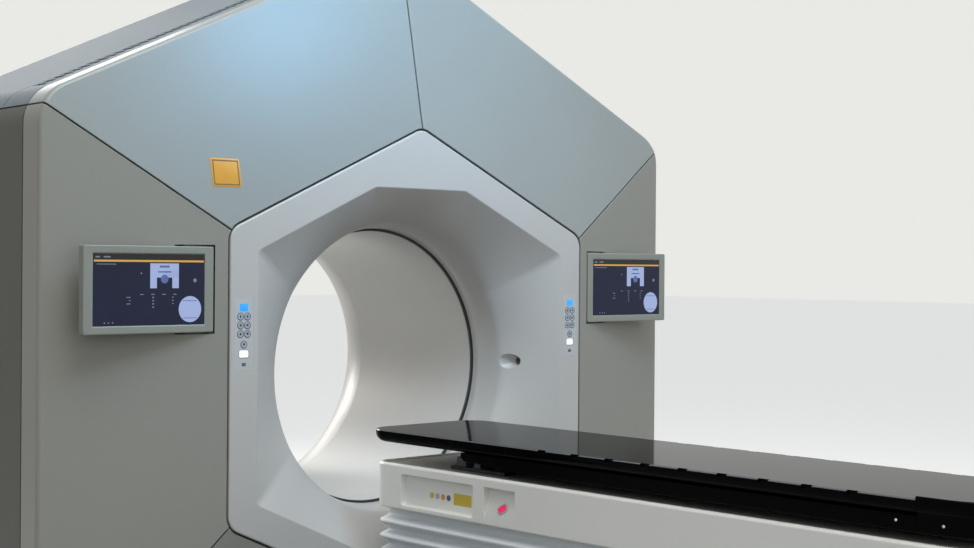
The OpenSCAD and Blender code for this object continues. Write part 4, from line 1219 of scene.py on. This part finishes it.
# Matt coat with a fine texture: a plain grey that doesn't shine, made paler than the coat as painted light, to
# lift the shadow of the couch frame on the deck.
deck_coat_painted_light = surface("aluminium_deck_matt_grey_painted_light", "#A3A39F", "#9B9B97", 160, (0.38, 0.5), 1.8, 0.03)
dress(["couch_deck"], deck_coat_painted_light, 1)
# Blackened steel: nearly black and satin, with grinding lines along the rail.
black_steel = surface("steel_blackened", "#1A1B1C", "#151617", 70, (0.3, 0.42), 1.6, 0.02, (1, 8, 1))
SADDLE_X = 189.5
RAIL_X = 125
SADDLE_FOOT = -2298
WING_FOOT = -640
sole = [(SADDLE_FOOT, -302.5), (-379, -302.5), (-379, -291), (SADDLE_FOOT, -291)]
rail = [(SADDLE_FOOT, -290.9), (-455, -290.9), (-458, -248.5), (SADDLE_FOOT, -248.5)]
parts = [loft([[(x, y, z) for y, z in line] for x in (-RAIL_X, RAIL_X)]) for line in (rail, sole)]
for ends in ((-SADDLE_X, -RAIL_X - 0.1), (RAIL_X + 0.1, SADDLE_X)):
    parts.append(loft([[(x, max(y, WING_FOOT), z) for y, z in sole] for x in ends]))
saddle = solid("couch_saddle_runners", parts)
soften(saddle, 2, 3)
fit(saddle, "saddle", "slide_aluminium", black_steel, "couch_saddle")
BLOCK_Z = -290.8
BLOCK_H = 31
block_line = [(-453, BLOCK_Z), (-406, BLOCK_Z), (-410, BLOCK_Z + BLOCK_H), (-453, BLOCK_Z + BLOCK_H)]
stops = [loft([[(d, y, z) for y, z in block_line] for d in (x, x + 40)]) for x in (-188, 148)]
stop_block = solid("couch_saddle_stops", stops)
soften(stop_block, 2.5, 3)
# Moulded polyamide: a dull dark grey.
polyamide = surface("polyamide_moulded_grey", "#3E3F40", "#37383A", 20, (0.5, 0.6), 1.2, 0.02)
fit(stop_block, "saddle", "slide_aluminium", polyamide)

# Couch top: one long sandwich of carbon skins on foam with a polished clear coat, rounded along its
# edge, undercut below and notched on both sides for the patient fixings.
COUCH_Z = -193
COUCH_L = 2450
SLAB_LOW = -236
CAP_L = 265
NOTCH_L = 34
NOTCH_IN = 9
NOTCH_PITCH = 141
NOTCHES = 9
NOTCH_LOW = -203
FIRST_NOTCH = -2001


def slab(inset):
    """Outline of the couch top seen from above, drawn in by inset."""
    w, y0, y1 = COUCH_W / 2 - inset, -COUCH_L + inset, -inset
    corners = [(-w, y0), (w, y0), (w, y1), (-w, y1)]
    return rounded(corners, [180 - inset, 180 - inset, 90 - inset, 90 - inset], 16)


levels = [(SLAB_LOW, 27), (-235, 22), (-231.5, 14.5), (-226, 8), (-219, 3), (-212, 0.6), (-207, 0)]
couch_top = solid("couch_top_slab", [loft(tiers(slab, levels + rolled(COUCH_Z, 5)))], crease=30)
cap_y = -COUCH_L + CAP_L
carve(couch_top, block("foot", (-400, -2600, -300), (400, cap_y, -100)), crease=30)
tools = []
for side in (-1, 1):
    for i in range(NOTCHES):
        y = FIRST_NOTCH + i * NOTCH_PITCH
        x0, x1 = sorted((side * (COUCH_W / 2 - NOTCH_IN), side * (COUCH_W / 2 + 6)))
        corners = [(x0, NOTCH_LOW), (x1, NOTCH_LOW), (x1, -180), (x0, -180)]
        tools.append(loft([[(x, d, z) for x, z in corners] for d in (y - NOTCH_L / 2, y + NOTCH_L / 2)]))
carve(couch_top, solid("notches", tools), crease=30)
soften(couch_top, 0.8, 2, 50)
# Polished clear coat over black carbon skins: a mirror that shows the room at a flat angle.
polished = surface(
    "carbon_laminate_polished", "#050506", "#060607", 200, (0.05, 0.09), 40, 0.0, Specular_IOR_Level=0.02
)
# Painted highlight along the rounded upper edge of the slab: a grey lighter than the skins, a thin light line.
painted_edge_highlight = surface("painted_edge_highlight_grey", "#5A5D60", "#525558", 120, (0.12, 0.18), 30, 0.0)
fit(couch_top, "tabletop", "couch_laminate", [polished, painted_edge_highlight], "couch_top")
# The painted highlight goes on the faces of the rounded upper edge that look partly up, where light catches
# it.
highlight_low = placed((0, 0, COUCH_Z - 6))[2]
for face in couch_top.data.polygons:
    rim = face.center.z > highlight_low and 0.2 < face.normal.z < 0.97
    face.material_index = 1 if rim else 0

# Foot cap and channels of the frame: the cap closes the foot of the slab and stands a little above it;
# the two channels and the web between them run forward and taper out under the head.
WAY_X = 190
WAY_Z = -248
FRAME_LOW = -277
FRAME_TOP = -236.2
FRAME_HEAD = -486
CHANNEL_W = 49.9
cap_levels = [(FRAME_LOW, 16), (-276.4, 13.5), (-274, 12), (-236, 12), (-229, 11), (-226, 8), (-219, 3)]
cap_levels += [(-212, 0.6), (-207, 0), (COUCH_Z, 0), (-190, 0.6), (-187.4, 2.4), (-186.4, 4.4), (-186.1, 8)]
cap = solid("couch_frame_cap", [loft(tiers(slab, cap_levels))], crease=30)
carve(cap, block("front", (-400, cap_y - 0.3, -300), (400, 10, -100)), crease=30)
carve(cap, block("way", (-WAY_X, -2600, -300), (WAY_X, 10, WAY_Z)), crease=30)
soften(cap, 0.6, 2, 50)
fit(cap, "tabletop", "couch_laminate", polished, "couch_frame")
web = [(cap_y, WAY_Z), (FRAME_HEAD, WAY_Z), (FRAME_HEAD, FRAME_TOP), (cap_y, FRAME_TOP)]
side_line = [(cap_y, FRAME_LOW), (-760, FRAME_LOW), (-500, -262), (FRAME_HEAD, -250)]
side_line += [(FRAME_HEAD, FRAME_TOP), (cap_y, FRAME_TOP)]
channels = [loft([[(x, y, z) for y, z in web] for x in (-WAY_X, WAY_X)])]
for x in (-240, WAY_X + 0.1):
    channels.append(loft([[(d, y, z) for y, z in side_line] for d in (x, x + CHANNEL_W)]))
channels = solid("couch_frame_channels", channels)
soften(channels, 2, 3)
# Painted laminate: black and smooth, with hardly a highlight.
laminate_black = surface(
    "carbon_laminate_painted", "#060606", "#050505", 90, (0.22, 0.3), 2.0, 0.006, Specular_IOR_Level=0.02
)
fit(channels, "tabletop", "couch_laminate", laminate_black)

# Screws that hold the foot of the couch frame: button heads with a hexagon socket, two on each side.
# They are cold headed from steel and zinc plated.
SCREW_Y = (-2124, -2258)
SCREW_Z = -253
SCREW_LINE = ((0, 4.6), (1.2, 4.4), (2.4, 3.4), (2.8, 2.4), (1.4, 2.1), (1.2, 0.5))
heads = []
for side in (-1, 1):
    for y in SCREW_Y:
        rings = []
        for lift, r in SCREW_LINE:
            x = side * (COUCH_W / 2 - 12.2 + lift)
            rings.append([(x, y + r * math.cos(a), SCREW_Z + r * math.sin(a)) for a in circle(18)])
        heads.append(loft(rings))
# Zinc plate: small bright heads with a slightly cloudy shine.
zinc = surface("steel_zinc_plated", "#B9BCBE", "#AEB1B4", 8, (0.2, 0.3), 0.8, 0.005, Metallic=1.0)
screws = solid("couch_frame_screws", heads, crease=45)
fit(screws, "tabletop", None, zinc)

# Floor of the studio: a pale seamless sheet, with the light of a bright ceiling and soft lamps. To the
# eye floor and room are pale; what the floor sends back on to the object is less, as in a furnished room.
FLOOR = "#E9E8E5"
FLOOR_SENT = "#6C6B68"
FLOOR_GLOW = 0.3
ROOM = "#E9E9E6"
CEILING = (0.1, 0.66)
floor_mesh = bpy.data.meshes.new("floor")
floor_mesh.from_pydata([(-60, -60, 0), (60, -60, 0), (60, 60, 0), (-60, 60, 0)], [], [(0, 1, 2, 3)])
floor = bpy.data.objects.new("floor", floor_mesh)
bpy.context.scene.collection.objects.link(floor)


def seen_directly(tree):
    """One where the eye sees the surface itself, also in a mirror or through glass, else nought."""
    path = add(tree, "ShaderNodeLightPath")
    rays = {0: path.outputs["Is Camera Ray"], 1: path.outputs["Is Glossy Ray"]}
    seen = add(tree, "ShaderNodeMath", {"operation": "MAXIMUM"}, rays)
    rays = {0: seen.outputs[0], 1: path.outputs["Is Transmission Ray"]}
    return add(tree, "ShaderNodeMath", {"operation": "MAXIMUM"}, rays).outputs[0]


# Seamless sheet: one even pale tone with a soft sheen.
sheet = surface("floor_sheet_pale", FLOOR, "#E6E5E2", 3000, (0.5, 0.6), 4.0, 0.01)
tree = sheet.node_tree
shader = tree.nodes["Principled BSDF"]
tint = shader.inputs["Base Color"].links[0].from_socket
sent = {"data_type": "RGBA", 6: linear(FLOOR_SENT)}
sent = add(tree, "ShaderNodeMix", sent, {0: seen_directly(tree), 7: tint})
tree.links.new(sent.outputs[2], shader.inputs["Base Color"])
lift = add(tree, "ShaderNodeMath", {"operation": "MULTIPLY", 1: FLOOR_GLOW}, {0: seen_directly(tree)})
tree.links.new(lift.outputs[0], shader.inputs["Emission Strength"])
shader.inputs["Emission Color"].default_value = linear(ROOM)
floor_mesh.materials.append(sheet)

world = bpy.data.worlds.new("studio")
bpy.context.scene.world = world
world.use_nodes = True
tree = world.node_tree
tree.nodes.clear()
way = add(tree, "ShaderNodeTexCoord").outputs["Generated"]
height = add(tree, "ShaderNodeSeparateXYZ", {}, {0: way}).outputs["Z"]
ceiling = {"From Min": -0.25, "From Max": 0.6, "To Min": CEILING[0], "To Max": CEILING[1]}
ceiling = add(tree, "ShaderNodeMapRange", ceiling, {"Value": height}).outputs["Result"]
soft = add(tree, "ShaderNodeBackground", {"Color": linear("#EFF5FB")}, {"Strength": ceiling})
shown = add(tree, "ShaderNodeBackground", {"Color": linear(ROOM), "Strength": 1.0})
both = add(tree, "ShaderNodeMixShader", {}, {0: seen_directly(tree), 1: soft.outputs[0], 2: shown.outputs[0]})
add(tree, "ShaderNodeOutputWorld", {}, {"Surface": both.outputs[0]})

for name, spot, aim, size, power, colour in (
    ("lamp_over", (-0.8, -2.6, 6.0), (0.1, -0.4, 0.9), 4.0, 215, "#F8F8F5"),
    ("lamp_top", (0.05, -1.75, 3.05), (-0.1, -0.6, 2.5), 0.7, 19, "#84CBFF"),
    ("lamp_left", (-5.6, -5.6, 3.2), (-0.5, -0.8, 1.1), 3.5, 50, "#FFF6EA"),
    ("lamp_right", (5.0, -5.5, 3.6), (0.2, -1.2, 0.9), 3.5, 62, "#FFFAF0"),
    ("lamp_behind", (0.6, 5.2, 3.3), (0.4, 0.3, 0.8), 3.2, 125, "#FFFDF8"),
    ("lamp_behind_left", (-0.8, 4.4, 2.0), (0.5, 0.0, 1.1), 1.2, 75, "#FFFAF2"),
):
    lamp = bpy.data.lights.new(name, "AREA")
    lamp.shape = "DISK"
    lamp.size = size
    lamp.energy = power
    lamp.color = linear(colour)[:3]
    holder = bpy.data.objects.new(name, lamp)
    bpy.context.scene.collection.objects.link(holder)
    holder.location = spot
    holder.rotation_euler = (Vector(aim) - Vector(spot)).to_track_quat("-Z", "Y").to_euler()
bpy.context.scene.view_settings.view_transform = "Standard"
